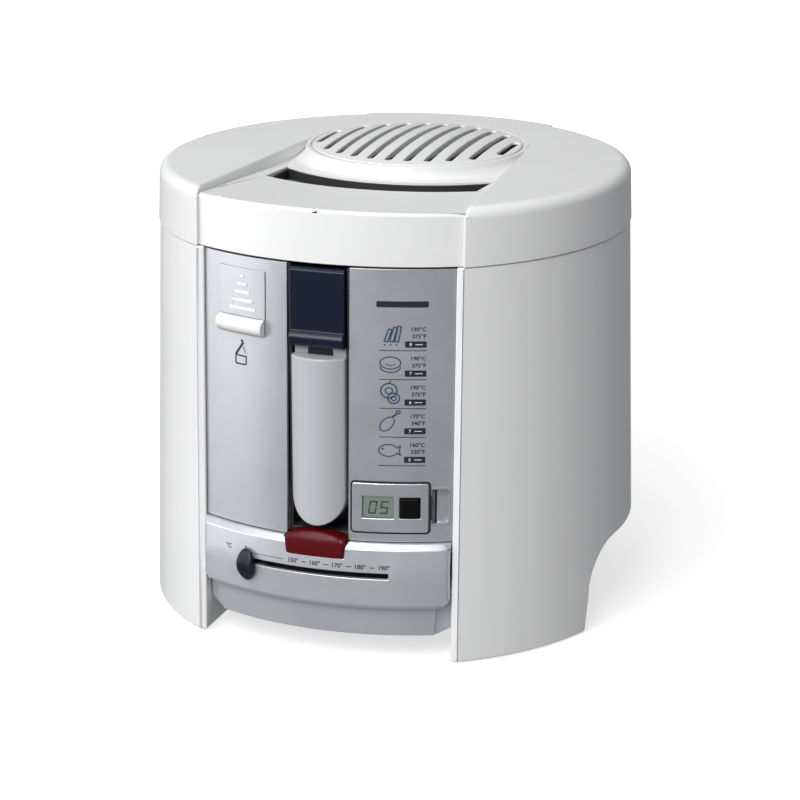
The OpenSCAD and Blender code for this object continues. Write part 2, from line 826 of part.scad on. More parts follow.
module lid_outer() {
    color("white") difference() {
        union() {
            difference() {
                lid_blank();
                band_cut();
            }
            intersection() {
                cover_ring();
                linear_extrude(big) band_plan(0);
            }
            both_sides() intersection() {
                x_rod(hinge_barrel_r, hinge_ear_x, hinge_y, hinge_z);
                block([hinge_fixed_x + 0.5, 0, 0], [big, big, big]);
            }
        }
        difference() {
            lid_cavity();
            // hinge ears and pillars for the inner lid's screws stay inside the hollow
            both_sides() intersection() {
                x_rod(hinge_barrel_r, hinge_ear_x, hinge_y, hinge_z);
                block([hinge_fixed_x + 0.5, 0, 0], [big, big, big]);
            }
            both_sides() for (y = pillar_ys) translate([pillar_x, y, 229.4])
                cylinder(r = 4, h = 30, $fn = fn_small);
            translate([0, cover_y, 225]) cylinder(r = cover_r + 2.6, h = 30, $fn = fn_body);
        }
        // filter well and the step that the cover sits on
        translate([0, cover_y, 200]) cylinder(r = cover_r - 2, h = 60, $fn = fn_body);
        translate([0, cover_y, lid_z - 0.6]) cylinder(r = cover_r + 0.35, h = 20, $fn = fn_body);
        translate([0, cover_y, 200]) cylinder(r = cover_r + 6, h = 29.6, $fn = fn_body);
        translate([0, 0, 200]) linear_extrude(60) window_plan(0);
        both_sides() for (y = pillar_ys) translate([pillar_x, y, 220])
            cylinder(r = 1.4, h = 18, $fn = fn_small);
        // clear of the body's half of the hinge, and the pin's own bore
        x_rod(hinge_barrel_r + 0.5, hinge_fixed_x + 0.5, hinge_y, hinge_z);
        x_rod(hinge_pin_r + 0.05, hinge_ear_x + 1, hinge_y, hinge_z);
    }
}

module lid_inner() {
    plate_z = 226.6;
    plate_t = 2.4;
    color("gainsboro") difference() {
        union() {
            translate([0, bowl_y, plate_z]) cylinder(r = 101, h = plate_t, $fn = fn_body);
            translate([0, bowl_y, 213.4]) cylinder(r = 100.4, h = plate_z - 213, $fn = fn_body);
        }
        translate([0, bowl_y, 200]) cylinder(r = 97.6, h = plate_z - 200, $fn = fn_body);
        translate([0, 0, 200]) linear_extrude(60) window_plan(-2.5);
        for (ring = [1 : 4], i = [0 : ring * 6 - 1])
            translate([0, cover_y, 200]) rotate([0, 0, i * 60 / ring]) translate([ring * 11, 0, 0])
                cylinder(r = 2.4, h = 60, $fn = fn_small);
        block([-17, -big, 0], [17, -60, 223]);
        both_sides() for (y = pillar_ys) translate([pillar_x, y, 200])
            cylinder(r = 1.7, h = 60, $fn = fn_small);
        // clear of the lid's front wall
        block([-80, -big, 0], [80, -84.5, 224]);
    }
}

module lid_gasket() {
    color("lightgray") difference() {
        translate([0, bowl_y, bowl_rim_z + 0.5]) rotate_extrude($fn = fn_body)
            polygon([[96.6, 3], [97.4, 0], [100.2, 0], [101.4, 3], [100.4, 3.4], [97.6, 3.4]]);
        block([-17, -big, 0], [17, -60, big]);
    }
}

module lid_catch() {
    half = 8;
    tip_y = latch_y - 4.9;
    color("gray") intersection() {
        union() {
            block([latch_x - half, -120, 214.8], [latch_x + half, tip_y, 216.4]);
            difference() {
                block([latch_x - half, -120, 214.8], [latch_x + half, tip_y, 230]);
                leaning_solid(lid_band_r - lid_t - 1.8, lid_bottom, lid_band_yc, 200, 240);
            }
        }
        leaning_solid(lid_band_r - lid_t - 0.05, lid_bottom, lid_band_yc, 200, 240);
    }
}

module lid_screws() {
    color("silver") both_sides() for (y = pillar_ys) translate([pillar_x, y, 224.2]) {
        cylinder(r = 3, h = 2.2, $fn = fn_small);
        cylinder(r = 1.35, h = 13, $fn = fn_small);
    }
}

module window_pane() {
    color([0.7, 0.75, 0.78, 0.5]) translate([0, 0, 229.3]) linear_extrude(2.4) window_plan(3);
}

module window_gasket() {
    color([0.1, 0.1, 0.1]) {
        translate([0, 0, 232]) linear_extrude(2.8) difference() {
            window_plan(3.4);
            window_plan(-1.6);
        }
        translate([0, 0, 234.6]) linear_extrude(2.4) difference() {
            window_plan(-0.15);
            window_plan(-1.6);
        }
    }
}

module filter_tray() {
    r = cover_r - 2.3;
    color("gainsboro") translate([0, cover_y, 229.3]) difference() {
        cylinder(r = r, h = 14.2, $fn = fn_body);
        translate([0, 0, 1.4]) cylinder(r = r - 1.3, h = 30, $fn = fn_body);
        for (ring = [1 : 4], i = [0 : ring * 6 - 1]) rotate([0, 0, i * 60 / ring])
            translate([ring * 11, 0, -5]) cylinder(r = 2.4, h = 20, $fn = fn_small);
    }
}

module foam_filter() {
    color("whitesmoke") translate([0, cover_y, 230.8]) cylinder(r = cover_r - 4, h = 4.2, $fn = fn_body);
}

module carbon_filter() {
    color([0.15, 0.15, 0.15]) translate([0, cover_y, 235.2])
        cylinder(r = cover_r - 4, h = 7.6, $fn = fn_body);
}

// Round cover with parallel slots
module filter_cover() {
    slots = 11;
    pitch = 10.6;
    slot_r = 1.9;
    edge_r = cover_r - 0.6;
    field_x = cover_r - 4;
    field_y = cover_r - 9.5;
    dome = 4;
    top = 249.6;
    color("white") difference() {
        translate([0, cover_y, 0]) rotate_extrude($fn = fn_body) polygon(concat(
            [[0, lid_z - 0.4], [edge_r, lid_z - 0.4]],
            [for (i = [6 : -1 : 0]) [edge_r * i / 6, top - dome * pow(i / 6, 2)]]
        ));
        for (i = [0 : slots - 1]) {
            x = (i - (slots - 1) / 2) * pitch;
            half = field_y * sqrt(1 - pow(x / field_x, 2));
            translate([x, cover_y, 240]) {
                translate([-slot_r, -half, 0]) cube([2 * slot_r, 2 * half, 20]);
                for (s = [-1, 1]) translate([0, s * half, 0]) cylinder(r = slot_r, h = 20, $fn = fn_small);
            }
        }
    }
}

// ---------- handle and basket ----------

module handle_frame() {
    plate_x = 10.2;
    plate_t = 1.5;
    out_x = plate_x + plate_t;
    web_front = pivot_y - 3.6;
    web_back = pivot_y - 2.2;
    foot = 158;
    color("silver") difference() {
        union() {
            both_sides() {
                block([plate_x, web_front, foot], [out_x, pivot_y + 3.6, pivot_z]);
                translate([plate_x, pivot_y, pivot_z]) rotate([0, 90, 0])
                    cylinder(r = 3.8, h = plate_t, $fn = fn_small);
            }
            // two front webs between the plates, and the tongue inside the grip
            block([-out_x, web_front, foot], [out_x, web_back, crank_z - 5]);
            block([-out_x, web_front, crank_z + 6], [out_x, web_back, 196]);
            block([-6.4, web_front, 92.5], [6.4, web_back, foot + 2]);
        }
        x_rod(pivot_pin_r + 0.05, 20, pivot_y, pivot_z);
        x_rod(crank_pin_r + 0.005, 20, pivot_y, crank_z);
    }
}

// Outline of the grip as seen from the front, with a round foot
module grip_front(x, z0, z1) {
    translate([0, z0 + x]) circle(r = x, $fn = fn_small * 2);
    translate([-x, z0 + x]) square([2 * x, z1 - z0 - x]);
}

module handle_grip() {
    z0 = 74.4;
    z1 = 165.2;
    crown_y = -129;
    crown_r = 20;
    back = -110;
    color("lightgray") difference() {
        intersection() {
            xz_prism(-140, back) grip_front(handle_x, z0, z1);
            translate([0, crown_y + crown_r, z0 - 1]) cylinder(r = crown_r, h = 100, $fn = fn_body);
        }
        block([-12, pivot_y - 3.7, 92], [12, 0, z1 + 1]);
    }
}

module crank_pin() {
    color("silver") x_rod(crank_pin_r, 11.7, pivot_y, crank_z);
}

// Navy slide that unlocks the handle, with a thumb ridge at its foot
module handle_slide() {
    z0 = 170;
    z1 = pivot_z + 10.5;
    face = pivot_y - 8.7;
    back = pivot_y - 4;
    bevel = 1.9;
    ridge_r = 4.4;
    color([0.1, 0.13, 0.25]) difference() {
        union() {
            yz_prism(-handle_x, handle_x) polygon([
                [face - 0.6, z0 + ridge_r], [face, pivot_z + 8.9], [face + bevel, z1], [back, z1],
                [back, z0 + 1], [face - 0.6, z0 + 1]
            ]);
            translate([-handle_x, face + 1, z0 + ridge_r]) rotate([0, 90, 0])
                cylinder(r = ridge_r, h = 2 * handle_x, $fn = fn_small);
        }
        block([-big, back, 0], [big, 0, big]);
        block([-handle_x + 1.8, face + 2.2, z0 + 9], [handle_x - 1.8, 0, 196]);
    }
}

module slide_spring() {
    color("silver") translate([0, -119.6, 180]) coil(1.3, 0.5, 14, 8);
}

module lift_links() {
    width = 3;
    end_r = 3;
    color("silver") both_sides()
        translate([link_x, pivot_y, crank_z]) rotate([link_lean, 0, 0]) difference() {
            union() {
                for (z = [0, -link_len]) translate([0, 0, z]) rotate([0, 90, 0])
                    cylinder(r = end_r, h = link_t, $fn = fn_small);
                translate([0, -width, -link_len]) cube([link_t, 2 * width, link_len]);
            }
            translate([-1, 0, 0]) rotate([0, 90, 0])
                cylinder(r = crank_pin_r + 0.05, h = 10, $fn = fn_small);
            translate([-1, 0, -link_len]) rotate([0, 90, 0]) cylinder(r = 1.6, h = 10, $fn = fn_small);
        }
}

module lift_carriage() {
    color("gray") {
        block([-5.4, -99.6, carriage_z - 6], [5.4, -94, bar_z - 0.1]);
        block([-12.2, -99.6, 150], [12.2, -94, 166]);
        x_rod(1.5, 6.9, carriage_y, carriage_z);
    }
}

module basket() {
    t = 1.2;
    foot_r = basket_r - 6;
    color("silver") translate([0, bowl_y, basket_z]) difference() {
        cylinder(r1 = foot_r, r2 = basket_r, h = basket_h, $fn = fn_body);
        translate([0, 0, t]) cylinder(r1 = foot_r - t, r2 = basket_r - t, h = basket_h, $fn = fn_body);
    }
}

module basket_rim() {
    wire_r = 1.8;
    color("silver") translate([0, bowl_y, basket_rim_z + wire_r + 0.1]) rotate_extrude($fn = fn_body)
        translate([basket_r - 0.6, 0]) circle(r = wire_r, $fn = fn_small);
}

module basket_bracket() {
    strap_t = 1.8;
    back = bowl_y - basket_r - 1.6;
    color("silver") {
        block([-4, -99, bar_z], [4, back, bar_z + 5]);
        both_sides() block([2, back - strap_t, 140], [9, back, bar_z + 5]);
        block([-9, back - strap_t, bar_z], [9, back, bar_z + 5]);
    }
}

// ---------- timer ----------

module timer_housing() {
    t = 1.4;
    back = -107;
    face = timer_front + 2;
    color("silver") difference() {
        intersection() {
            block([timer_x0, -big, timer_z0], [timer_x1, back, timer_z1]);
            leaning_solid(panel_r + 0.9, panel_z, panel_yc, timer_z0, timer_z1);
        }
        intersection() {
            block([timer_x0 + t, -big, timer_z0 + t], [timer_x1 - t, back - t, timer_z1 - t]);
            leaning_solid(panel_r + 0.9 - 2, panel_z, panel_yc, timer_z0, timer_z1);
        }
        block([24.6, -big, 80.4], [40.6, -110, 92.2]);
        block([43.7, -big, 80.5], [53.9, -110, 91.8]);
        block([22, back - t - 0.5, 76], [40, 0, 90]);
    }
}

module timer_display() {
    color([0.55, 0.62, 0.52]) intersection() {
        block([24.8, -big, 80.6], [40.4, -115.4, 92]);
        leaning_solid(panel_r + 0.1, panel_z, panel_yc, timer_z0, timer_z1);
    }
}

module timer_button() {
    color([0.08, 0.08, 0.08]) intersection() {
        block([44, -big, 80.8], [53.6, -111.4, 91.5]);
        leaning_solid(panel_r + 1.9, panel_z, panel_yc, timer_z0, timer_z1);
    }
}

module timer_board() {
    color("darkgreen") block([21.4, -109.9, 75], [55.6, -108.9, 97.4]);
}

module timer_battery() {
    color("silver") translate([31, -108.8, 83]) rotate([-90, 0, 0])
        cylinder(r = 5.8, h = 1.6, $fn = fn_small);
}

outer_shell();
left_panel();
right_panel();
control_band();
niche_liner();
base_plate();
feet();
base_screws();
top_deck();
heat_shield();
heater_plate();
heating_element();
thermostat();
thermal_fuse();
terminal_block();
cord_gland();
rating_plate();
indicator_lens();
indicator_lamp();
timer_tray();
bowl();
carriage_guide();
hinge_bracket();
hinge_pin();
hinge_spring();
handle_pin();
slider_track();
temperature_knob();
slider_carriage();
release_slider();
release_bar();
release_spring();
latch_hook();
latch_pin();
lid_outer();
lid_inner();
lid_gasket();
lid_catch();
lid_screws();
window_pane();
window_gasket();
filter_tray();
foam_filter();
carbon_filter();
filter_cover();
handle_frame();
handle_grip();
crank_pin();
handle_slide();
slide_spring();
lift_links();
lift_carriage();
basket();
basket_rim();
basket_bracket();
timer_housing();
timer_display();
timer_board();
timer_battery();
timer_button();
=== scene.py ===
"""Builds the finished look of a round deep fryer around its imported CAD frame."""

import json
import math

import bmesh
import bpy
from mathutils import Euler, Matrix, Vector


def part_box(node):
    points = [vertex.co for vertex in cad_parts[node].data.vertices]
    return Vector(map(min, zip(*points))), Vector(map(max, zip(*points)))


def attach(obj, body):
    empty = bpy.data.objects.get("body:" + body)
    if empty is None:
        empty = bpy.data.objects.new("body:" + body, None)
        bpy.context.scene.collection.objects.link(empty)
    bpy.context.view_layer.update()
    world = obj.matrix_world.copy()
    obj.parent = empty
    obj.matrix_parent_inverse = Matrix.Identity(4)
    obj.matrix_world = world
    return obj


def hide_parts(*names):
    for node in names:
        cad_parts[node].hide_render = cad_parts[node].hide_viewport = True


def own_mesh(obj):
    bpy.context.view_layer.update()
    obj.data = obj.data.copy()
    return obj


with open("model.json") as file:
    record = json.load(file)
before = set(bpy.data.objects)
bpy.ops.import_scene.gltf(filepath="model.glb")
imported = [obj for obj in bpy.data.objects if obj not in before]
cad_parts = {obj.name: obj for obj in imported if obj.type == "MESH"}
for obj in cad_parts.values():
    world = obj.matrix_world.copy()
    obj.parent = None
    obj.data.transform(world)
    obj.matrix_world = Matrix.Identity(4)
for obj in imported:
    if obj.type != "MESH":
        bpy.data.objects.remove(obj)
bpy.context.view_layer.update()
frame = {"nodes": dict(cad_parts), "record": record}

bl_info = {
    "name": "Deep Fryer",
    "version": (1, 0, 0),
    "blender": (4, 5, 0),
    "location": "View3D > Sidebar > Fryer",
    "description": "Rounds, paints and marks a deep fryer around its CAD frame",
    "category": "Mesh",
}

MM = 0.001
BODY_OF = {
    node: body
    for body, nodes in frame["record"]["behaviour"]["bodies"].items()
    for node in nodes
}
SLOT_OF = {part["node"]: part["material_slot"] for part in frame["record"]["subparts"]}


# ---------- settings ----------


def size(name, description, default):
    """A length in millimetres."""
    return bpy.props.FloatProperty(
        name=name, description=description, default=default, min=0.0, unit="NONE"
    )


def colour(name, description, default):
    """A linear colour."""
    return bpy.props.FloatVectorProperty(
        name=name, description=description, default=default, subtype="COLOR", size=3, min=0.0, max=1.0
    )


class FryerSizes(bpy.types.PropertyGroup):
    """Sizes of the fryer's details, in millimetres"""

    draft: bpy.props.FloatProperty(
        name="Draft", description="Inward lean of the walls for each unit of height",
        default=0.0271, min=0.0,
    )
    panel_radius: size("Panel radius", "Radius of the silver panel at its foot", 152.0)
    panel_centre: size("Panel centre", "Distance of the panel's axis behind the body's", 26.0)
    panel_foot: size("Panel foot", "Height of the panel's lower edge", 67.4)
    band_radius: size("Band radius", "Radius of the control band's face", 159.2)
    band_centre: size("Band centre", "Distance of the band's axis behind the body's", 28.0)
    slot_height: size("Slot height", "Height of the temperature slot's middle", 49.7)
    shell_edge: size("Shell edge", "Rounding of the shell's edges", 0.9)
    lid_edge: size("Lid edge", "Rounding of the lid's top edges", 2.0)
    small_edge: size("Small edge", "Rounding of the small parts' edges", 0.3)
    print_height: size("Print height", "How far the printed marks stand on the surface", 0.06)
    basket_wire: size("Basket wire", "Radius of the basket's thin wires", 0.55)
    basket_ribs: bpy.props.IntProperty(
        name="Basket ribs", description="Number of upright wires round the basket",
        default=72, min=24, max=120,
    )


class FryerColours(bpy.types.PropertyGroup):
    """Colours of the fryer's finishes"""

    white: colour("White", "Glossy white casing", (0.74, 0.74, 0.74))
    silver: colour("Silver", "Silver paint of the front", (0.545, 0.56, 0.59))
    grip: colour("Grip", "Light grey of the handle", (0.42, 0.43, 0.45))
    navy: colour("Navy", "Dark blue of the slide and knob", (0.0035, 0.0068, 0.022))
    print_dark: colour("Print", "Dark print on the panel", (0.009, 0.012, 0.024))
    print_blue: colour("Blue print", "Blue print of the icons", (0.03, 0.055, 0.12))
    black: colour("Black", "Black plastic and rubber", (0.012, 0.012, 0.013))
    button: colour("Button", "Black of the timer's button", (0.003, 0.003, 0.0035))
    red: colour("Red", "Red of the lens", (0.085, 0.002, 0.004))
    display: colour("Display", "Green grey of the display", (0.16, 0.22, 0.19))
    steel: colour("Steel", "Bright steel", (0.62, 0.62, 0.63))


def sizes():
    return bpy.context.scene.fryer_sizes


def colours():
    return bpy.context.scene.fryer_colours


# ---------- finishes ----------


def new_material(name):
    """A material with a Principled shader and object coordinates."""
    material = bpy.data.materials.new(name)
    material.use_nodes = True
    nodes = material.node_tree.nodes
    links = material.node_tree.links
    shader = nodes["Principled BSDF"]
    coords = nodes.new("ShaderNodeTexCoord")
    return material, nodes, links, shader, coords


def noise(nodes, links, coords, scale, detail=3.0, stretch=None):
    """A noise texture in object coordinates, stretched along an axis if asked."""
    texture = nodes.new("ShaderNodeTexNoise")
    texture.inputs["Scale"].default_value = scale
    texture.inputs["Detail"].default_value = detail
    source = coords.outputs["Object"]
    if stretch:
        mapping = nodes.new("ShaderNodeMapping")
        mapping.inputs["Scale"].default_value = stretch
        links.new(source, mapping.inputs["Vector"])
        source = mapping.outputs["Vector"]
    links.new(source, texture.inputs["Vector"])
    return texture.outputs["Fac"]


def vary(nodes, links, factor, low, high):
    """The factor, spread from low to high."""
    spread = nodes.new("ShaderNodeMapRange")
    spread.inputs["From Min"].default_value = 0.3
    spread.inputs["From Max"].default_value = 0.7
    spread.inputs["To Min"].default_value = low
    spread.inputs["To Max"].default_value = high
    links.new(factor, spread.inputs["Value"])
    return spread.outputs["Result"]


def tint(nodes, links, factor, base, spread):
    """A colour that varies a little about its base."""
    mix = nodes.new("ShaderNodeMix")
    mix.data_type = "RGBA"
    mix.inputs["A"].default_value = tuple(c * (1.0 - spread) for c in base) + (1.0,)
    mix.inputs["B"].default_value = tuple(min(1.0, c * (1.0 + spread)) for c in base) + (1.0,)
    links.new(factor, mix.inputs["Factor"])
    return mix.outputs["Result"]


def bump(nodes, links, shader, height, strength, distance):
    node = nodes.new("ShaderNodeBump")
    node.inputs["Strength"].default_value = strength
    node.inputs["Distance"].default_value = distance
    links.new(height, node.inputs["Height"])
    links.new(node.outputs["Normal"], shader.inputs["Normal"])


def plastic(name, base, rough, grain=900.0, relief=0.12, spread=0.02, gloss=0.0, shine=0.5):
    """Moulded plastic: fine grain, faint flow marks and uneven gloss."""
    material, nodes, links, shader, coords = new_material(name)
    flow = noise(nodes, links, coords, 14.0)
    fine = noise(nodes, links, coords, grain, 2.0)
    links.new(tint(nodes, links, flow, base, spread), shader.inputs["Base Color"])
    links.new(vary(nodes, links, flow, rough * 0.9, rough * 1.1), shader.inputs["Roughness"])
    shader.inputs["Specular IOR Level"].default_value = shine
    shader.inputs["Coat Weight"].default_value = gloss
    shader.inputs["Coat Roughness"].default_value = 0.12
    bump(nodes, links, shader, fine, relief, 0.00004)
    return material


def flake_paint(name, base, rough, metal):
    """Silver paint with fine metal flakes under a thin clear coat."""
    material, nodes, links, shader, coords = new_material(name)
    flakes = nodes.new("ShaderNodeTexVoronoi")
    flakes.inputs["Scale"].default_value = 3200.0
    links.new(coords.outputs["Object"], flakes.inputs["Vector"])
    cloud = noise(nodes, links, coords, 45.0)
    mottle = nodes.new("ShaderNodeMath")
    mottle.operation = "MULTIPLY_ADD"
    mottle.inputs[1].default_value = 0.55
    links.new(flakes.outputs["Distance"], mottle.inputs[0])
    links.new(cloud, mottle.inputs[2])
    links.new(tint(nodes, links, mottle.outputs["Value"], base, 0.045), shader.inputs["Base Color"])
    links.new(vary(nodes, links, cloud, rough * 0.92, rough * 1.08), shader.inputs["Roughness"])
    shader.inputs["Metallic"].default_value = metal
    shader.inputs["Coat Weight"].default_value = 0.25
    shader.inputs["Coat Roughness"].default_value = 0.2
    bump(nodes, links, shader, flakes.outputs["Distance"], 0.1, 0.00002)
    return material


def drawn_metal(name, base, rough, stretch=(1.0, 1.0, 0.03), spread=0.08):
    """Metal with fine drawing or rolling lines along one axis."""
    material, nodes, links, shader, coords = new_material(name)
    lines = noise(nodes, links, coords, 1500.0, 4.0, stretch)
    stain = noise(nodes, links, coords, 60.0)
    links.new(tint(nodes, links, stain, base, spread), shader.inputs["Base Color"])
    links.new(vary(nodes, links, lines, rough * 0.8, rough * 1.25), shader.inputs["Roughness"])
    shader.inputs["Metallic"].default_value = 1.0
    bump(nodes, links, shader, lines, 0.15, 0.00003)
    return material


def rubber(name, base):
    """Dull rubber with a dusty surface."""
    material, nodes, links, shader, coords = new_material(name)
    dust = noise(nodes, links, coords, 120.0, 6.0)
    links.new(tint(nodes, links, dust, base, 0.25), shader.inputs["Base Color"])
    links.new(vary(nodes, links, dust, 0.6, 0.8), shader.inputs["Roughness"])
    bump(nodes, links, shader, noise(nodes, links, coords, 1600.0), 0.3, 0.00006)
    return material


def porous(name, base, pores, depth):
    """Open foam or pressed granules: round cells, their hollows darkened by painted shade."""
    material, nodes, links, shader, coords = new_material(name)
    cells = nodes.new("ShaderNodeTexVoronoi")
    cells.inputs["Scale"].default_value = pores
    links.new(coords.outputs["Object"], cells.inputs["Vector"])
    # painted shade: the colour darkens towards each cell's hollow, where the bump sinks it
    links.new(tint(nodes, links, cells.outputs["Distance"], base, 0.35), shader.inputs["Base Color"])
    shader.inputs["Roughness"].default_value = 0.95
    bump(nodes, links, shader, cells.outputs["Distance"], 0.8, depth)
    return material


def clear_glass(name, base):
    """Lightly smoked glass with faint smears."""
    material, nodes, links, shader, coords = new_material(name)
    smear = noise(nodes, links, coords, 35.0, 5.0, (1.0, 3.0, 1.0))
    links.new(tint(nodes, links, smear, base, 0.05), shader.inputs["Base Color"])
    links.new(vary(nodes, links, smear, 0.03, 0.14), shader.inputs["Roughness"])
    shader.inputs["Transmission Weight"].default_value = 0.75
    shader.inputs["IOR"].default_value = 1.5
    return material


def tinted_lens(name, base, glow=0.0):
    """Glossy moulded lens, deep in colour, with fine ribs inside."""
    material, nodes, links, shader, coords = new_material(name)
    ribs = nodes.new("ShaderNodeTexWave")
    ribs.bands_direction = "X"
    ribs.inputs["Scale"].default_value = 160.0
    ribs.inputs["Distortion"].default_value = 0.4
    links.new(coords.outputs["Object"], ribs.inputs["Vector"])
    links.new(tint(nodes, links, ribs.outputs["Fac"], base, 0.16), shader.inputs["Base Color"])
    flow = noise(nodes, links, coords, 80.0)
    links.new(vary(nodes, links, flow, 0.3, 0.4), shader.inputs["Roughness"])
    shader.inputs["Coat Weight"].default_value = 0.0
    shader.inputs["Specular IOR Level"].default_value = 0.18
    shader.inputs["Emission Color"].default_value = tuple(base) + (1.0,)
    shader.inputs["Emission Strength"].default_value = glow
    bump(nodes, links, shader, ribs.outputs["Fac"], 0.05, 0.00008)
    return material


def printed_ink(name, base):
    """Screen-printed ink, a little uneven."""
    material, nodes, links, shader, coords = new_material(name)
    grain = noise(nodes, links, coords, 2600.0, 2.0)
    links.new(tint(nodes, links, grain, base, 0.15), shader.inputs["Base Color"])
    links.new(vary(nodes, links, grain, 0.38, 0.5), shader.inputs["Roughness"])
    return material


def make_materials():
    """Every finish, by the name of the record's slot or of the mark it prints."""
    c = colours()
    dark_metal = (0.10, 0.09, 0.085)
    return {
        "white_plastic": plastic("white_plastic", c.white, 0.34, gloss=0.12),
        "white_inner": plastic("white_inner", tuple(x * 0.9 for x in c.white), 0.45),
        "silver_paint": flake_paint("silver_paint", c.silver, 0.39, 0.82),
        "silver_band": flake_paint("silver_band", tuple(x * 1.12 for x in c.silver), 0.42, 0.72),
        "grip_plastic": plastic("grip_plastic", c.grip, 0.36, spread=0.015, gloss=0.1),
        "navy_plastic": plastic("navy_plastic", c.navy, 0.30, spread=0.12, shine=0.35),
        "dark_plastic": plastic("dark_plastic", (0.03, 0.031, 0.034), 0.45, spread=0.15),
        "grey_plastic": plastic("grey_plastic", (0.22, 0.225, 0.235), 0.48, spread=0.05),
        "button_black": plastic("button_black", c.button, 0.42, relief=0.3, spread=0.2, shine=0.12),
        "red_lens": tinted_lens("red_lens", c.red),
        "lamp_amber": tinted_lens("lamp_amber", (0.75, 0.22, 0.02), 0.3),
        "lcd": plastic("lcd", c.display, 0.2, grain=2400.0, relief=0.03, spread=0.04, gloss=0.6),
        "window_glass": clear_glass("window_glass", (0.62, 0.65, 0.66)),
        "rubber_black": rubber("rubber_black", c.black),
        "gasket_grey": rubber("gasket_grey", (0.42, 0.42, 0.43)),
        "steel": drawn_metal("steel", c.steel, 0.28),
        "basket_wire": drawn_metal("basket_wire", (0.66, 0.655, 0.64), 0.24, (1.0, 1.0, 1.0)),
        "bowl_coating": plastic("bowl_coating", (0.045, 0.045, 0.05), 0.35, 1400.0, 0.5, 0.3, 0.3),
        "heater_alloy": drawn_metal("heater_alloy", (0.42, 0.40, 0.38), 0.45, (1.0, 1.0, 1.0), 0.2),
        "tube_scale": drawn_metal("tube_scale", dark_metal, 0.55, (1.0, 1.0, 1.0), 0.35),
        "ceramic": plastic("ceramic", (0.66, 0.62, 0.53), 0.6, 700.0, 0.4, 0.06),
        "foam": porous("foam", (0.62, 0.62, 0.60), 900.0, 0.0004),
        "carbon": porous("carbon", (0.12, 0.12, 0.12), 1300.0, 0.0005),
        "circuit_green": plastic("circuit_green", (0.02, 0.12, 0.05), 0.35, 2000.0, 0.5, 0.25, 0.4),
        "ink_dark": printed_ink("ink_dark", c.print_dark),
        "ink_blue": printed_ink("ink_blue", c.print_blue),
        "ink_light": printed_ink("ink_light", (0.62, 0.63, 0.66)),
        "digit": printed_ink("digit", (0.03, 0.045, 0.04)),
    }


MATERIALS = {}


def finish(name):
    if not MATERIALS:
        MATERIALS.update(make_materials())
    return MATERIALS[name]


# ---------- making pieces ----------


def add_piece(name, bm, material, body, replaced=(), smooth=40.0):
    """Turns a bmesh in metres into a piece that rides on a body."""
    mesh = bpy.data.meshes.new(name)
    bm.to_mesh(mesh)
    bm.free()
    mesh.shade_smooth()
    mesh.set_sharp_from_angle(angle=math.radians(smooth))
    mesh.materials.append(finish(material))
    piece = bpy.data.objects.new(name, mesh)
    bpy.context.scene.collection.objects.link(piece)
    even = piece.modifiers.new("even_shading", "WEIGHTED_NORMAL")
    even.keep_sharp = True
    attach(piece, body)
    if replaced:
        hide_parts(*replaced)
    return piece


def cad_copy(node, halved=False):
    """The node's own mesh, merged, with its flat faces in one piece.

    A flat ring can't be one face, so halved cuts it along the middle plane.
    """
    bm = bmesh.new()
    bm.from_mesh(frame["nodes"][node].data)
    bmesh.ops.remove_doubles(bm, verts=bm.verts, dist=0.000002)
    if halved:
        everything = bm.verts[:] + bm.edges[:] + bm.faces[:]
        cut = bmesh.ops.bisect_plane(
            bm, geom=everything, dist=0.000002, plane_co=(0, 0, 0), plane_no=(1, 0, 0),
        )
        for edge in cut["geom_cut"]:
            if isinstance(edge, bmesh.types.BMEdge):
                edge.seam = True
    bmesh.ops.dissolve_limit(
        bm, angle_limit=math.radians(0.2), verts=bm.verts, edges=bm.edges, delimit={"SEAM"},
    )
    return bm


def round_edges(bm, width, steps=3, angle=38.0, where=None, outward=False):
    """Rounds the edges sharper than angle, in millimetres, where a test of their middle holds."""
    chosen = []
    for edge in bm.edges:
        if len(edge.link_faces) != 2 or edge.calc_face_angle(0.0) < math.radians(angle):
            continue
        if outward and not edge.is_convex:
            continue
        middle = (edge.verts[0].co + edge.verts[1].co) / 2.0 / MM
        if where is None or where(middle):
            chosen.append(edge)
    bmesh.ops.bevel(
        bm, geom=chosen, offset=width * MM, offset_type="OFFSET", segments=steps, profile=0.5,
        affect="EDGES", clamp_overlap=False, material=-1,
    )


def round_node(node, width, steps=3, material=None, where=None, name=None, bm=None, angle=38.0):
    """A CAD node's rounded double, which stands for it."""
    bm = bm or cad_copy(node)
    round_edges(bm, width, steps, angle, where)
    slot = SLOT_OF[node]
    return add_piece(name or node + "_finished", bm, material or slot, BODY_OF[node], (node,))


def paint_node(node, material=None):
    """Gives a CAD node that keeps its own mesh its finish."""
    slots = frame["nodes"][node].material_slots
    if not slots:
        frame["nodes"][node].data.materials.append(finish(material or SLOT_OF[node]))
    for slot in slots:
        slot.material = finish(material or SLOT_OF[node])


def wire(name, paths, radius, material, body, replaced=(), closed=False, sides=2):
    """Round wires in millimetres along lists of points, as one mesh."""
    curve = bpy.data.curves.new(name + "_path", "CURVE")
    curve.dimensions = "3D"
    curve.bevel_depth = radius * MM
    curve.bevel_resolution = sides
    curve.use_fill_caps = True
    for path in paths:
        spline = curve.splines.new("POLY")
        spline.points.add(len(path) - 1)
        for point, place in zip(spline.points, path):
            point.co = tuple(c * MM for c in place) + (1.0,)
        spline.use_cyclic_u = closed
    holder = bpy.data.objects.new(name + "_path", curve)
    mesh = bpy.data.meshes.new_from_object(holder)
    bm = bmesh.new()
    bm.from_mesh(mesh)
    bmesh.ops.recalc_face_normals(bm, faces=bm.faces)
    bpy.data.objects.remove(holder)
    bpy.data.curves.remove(curve)
    bpy.data.meshes.remove(mesh)
    return add_piece(name, bm, material, body, replaced)


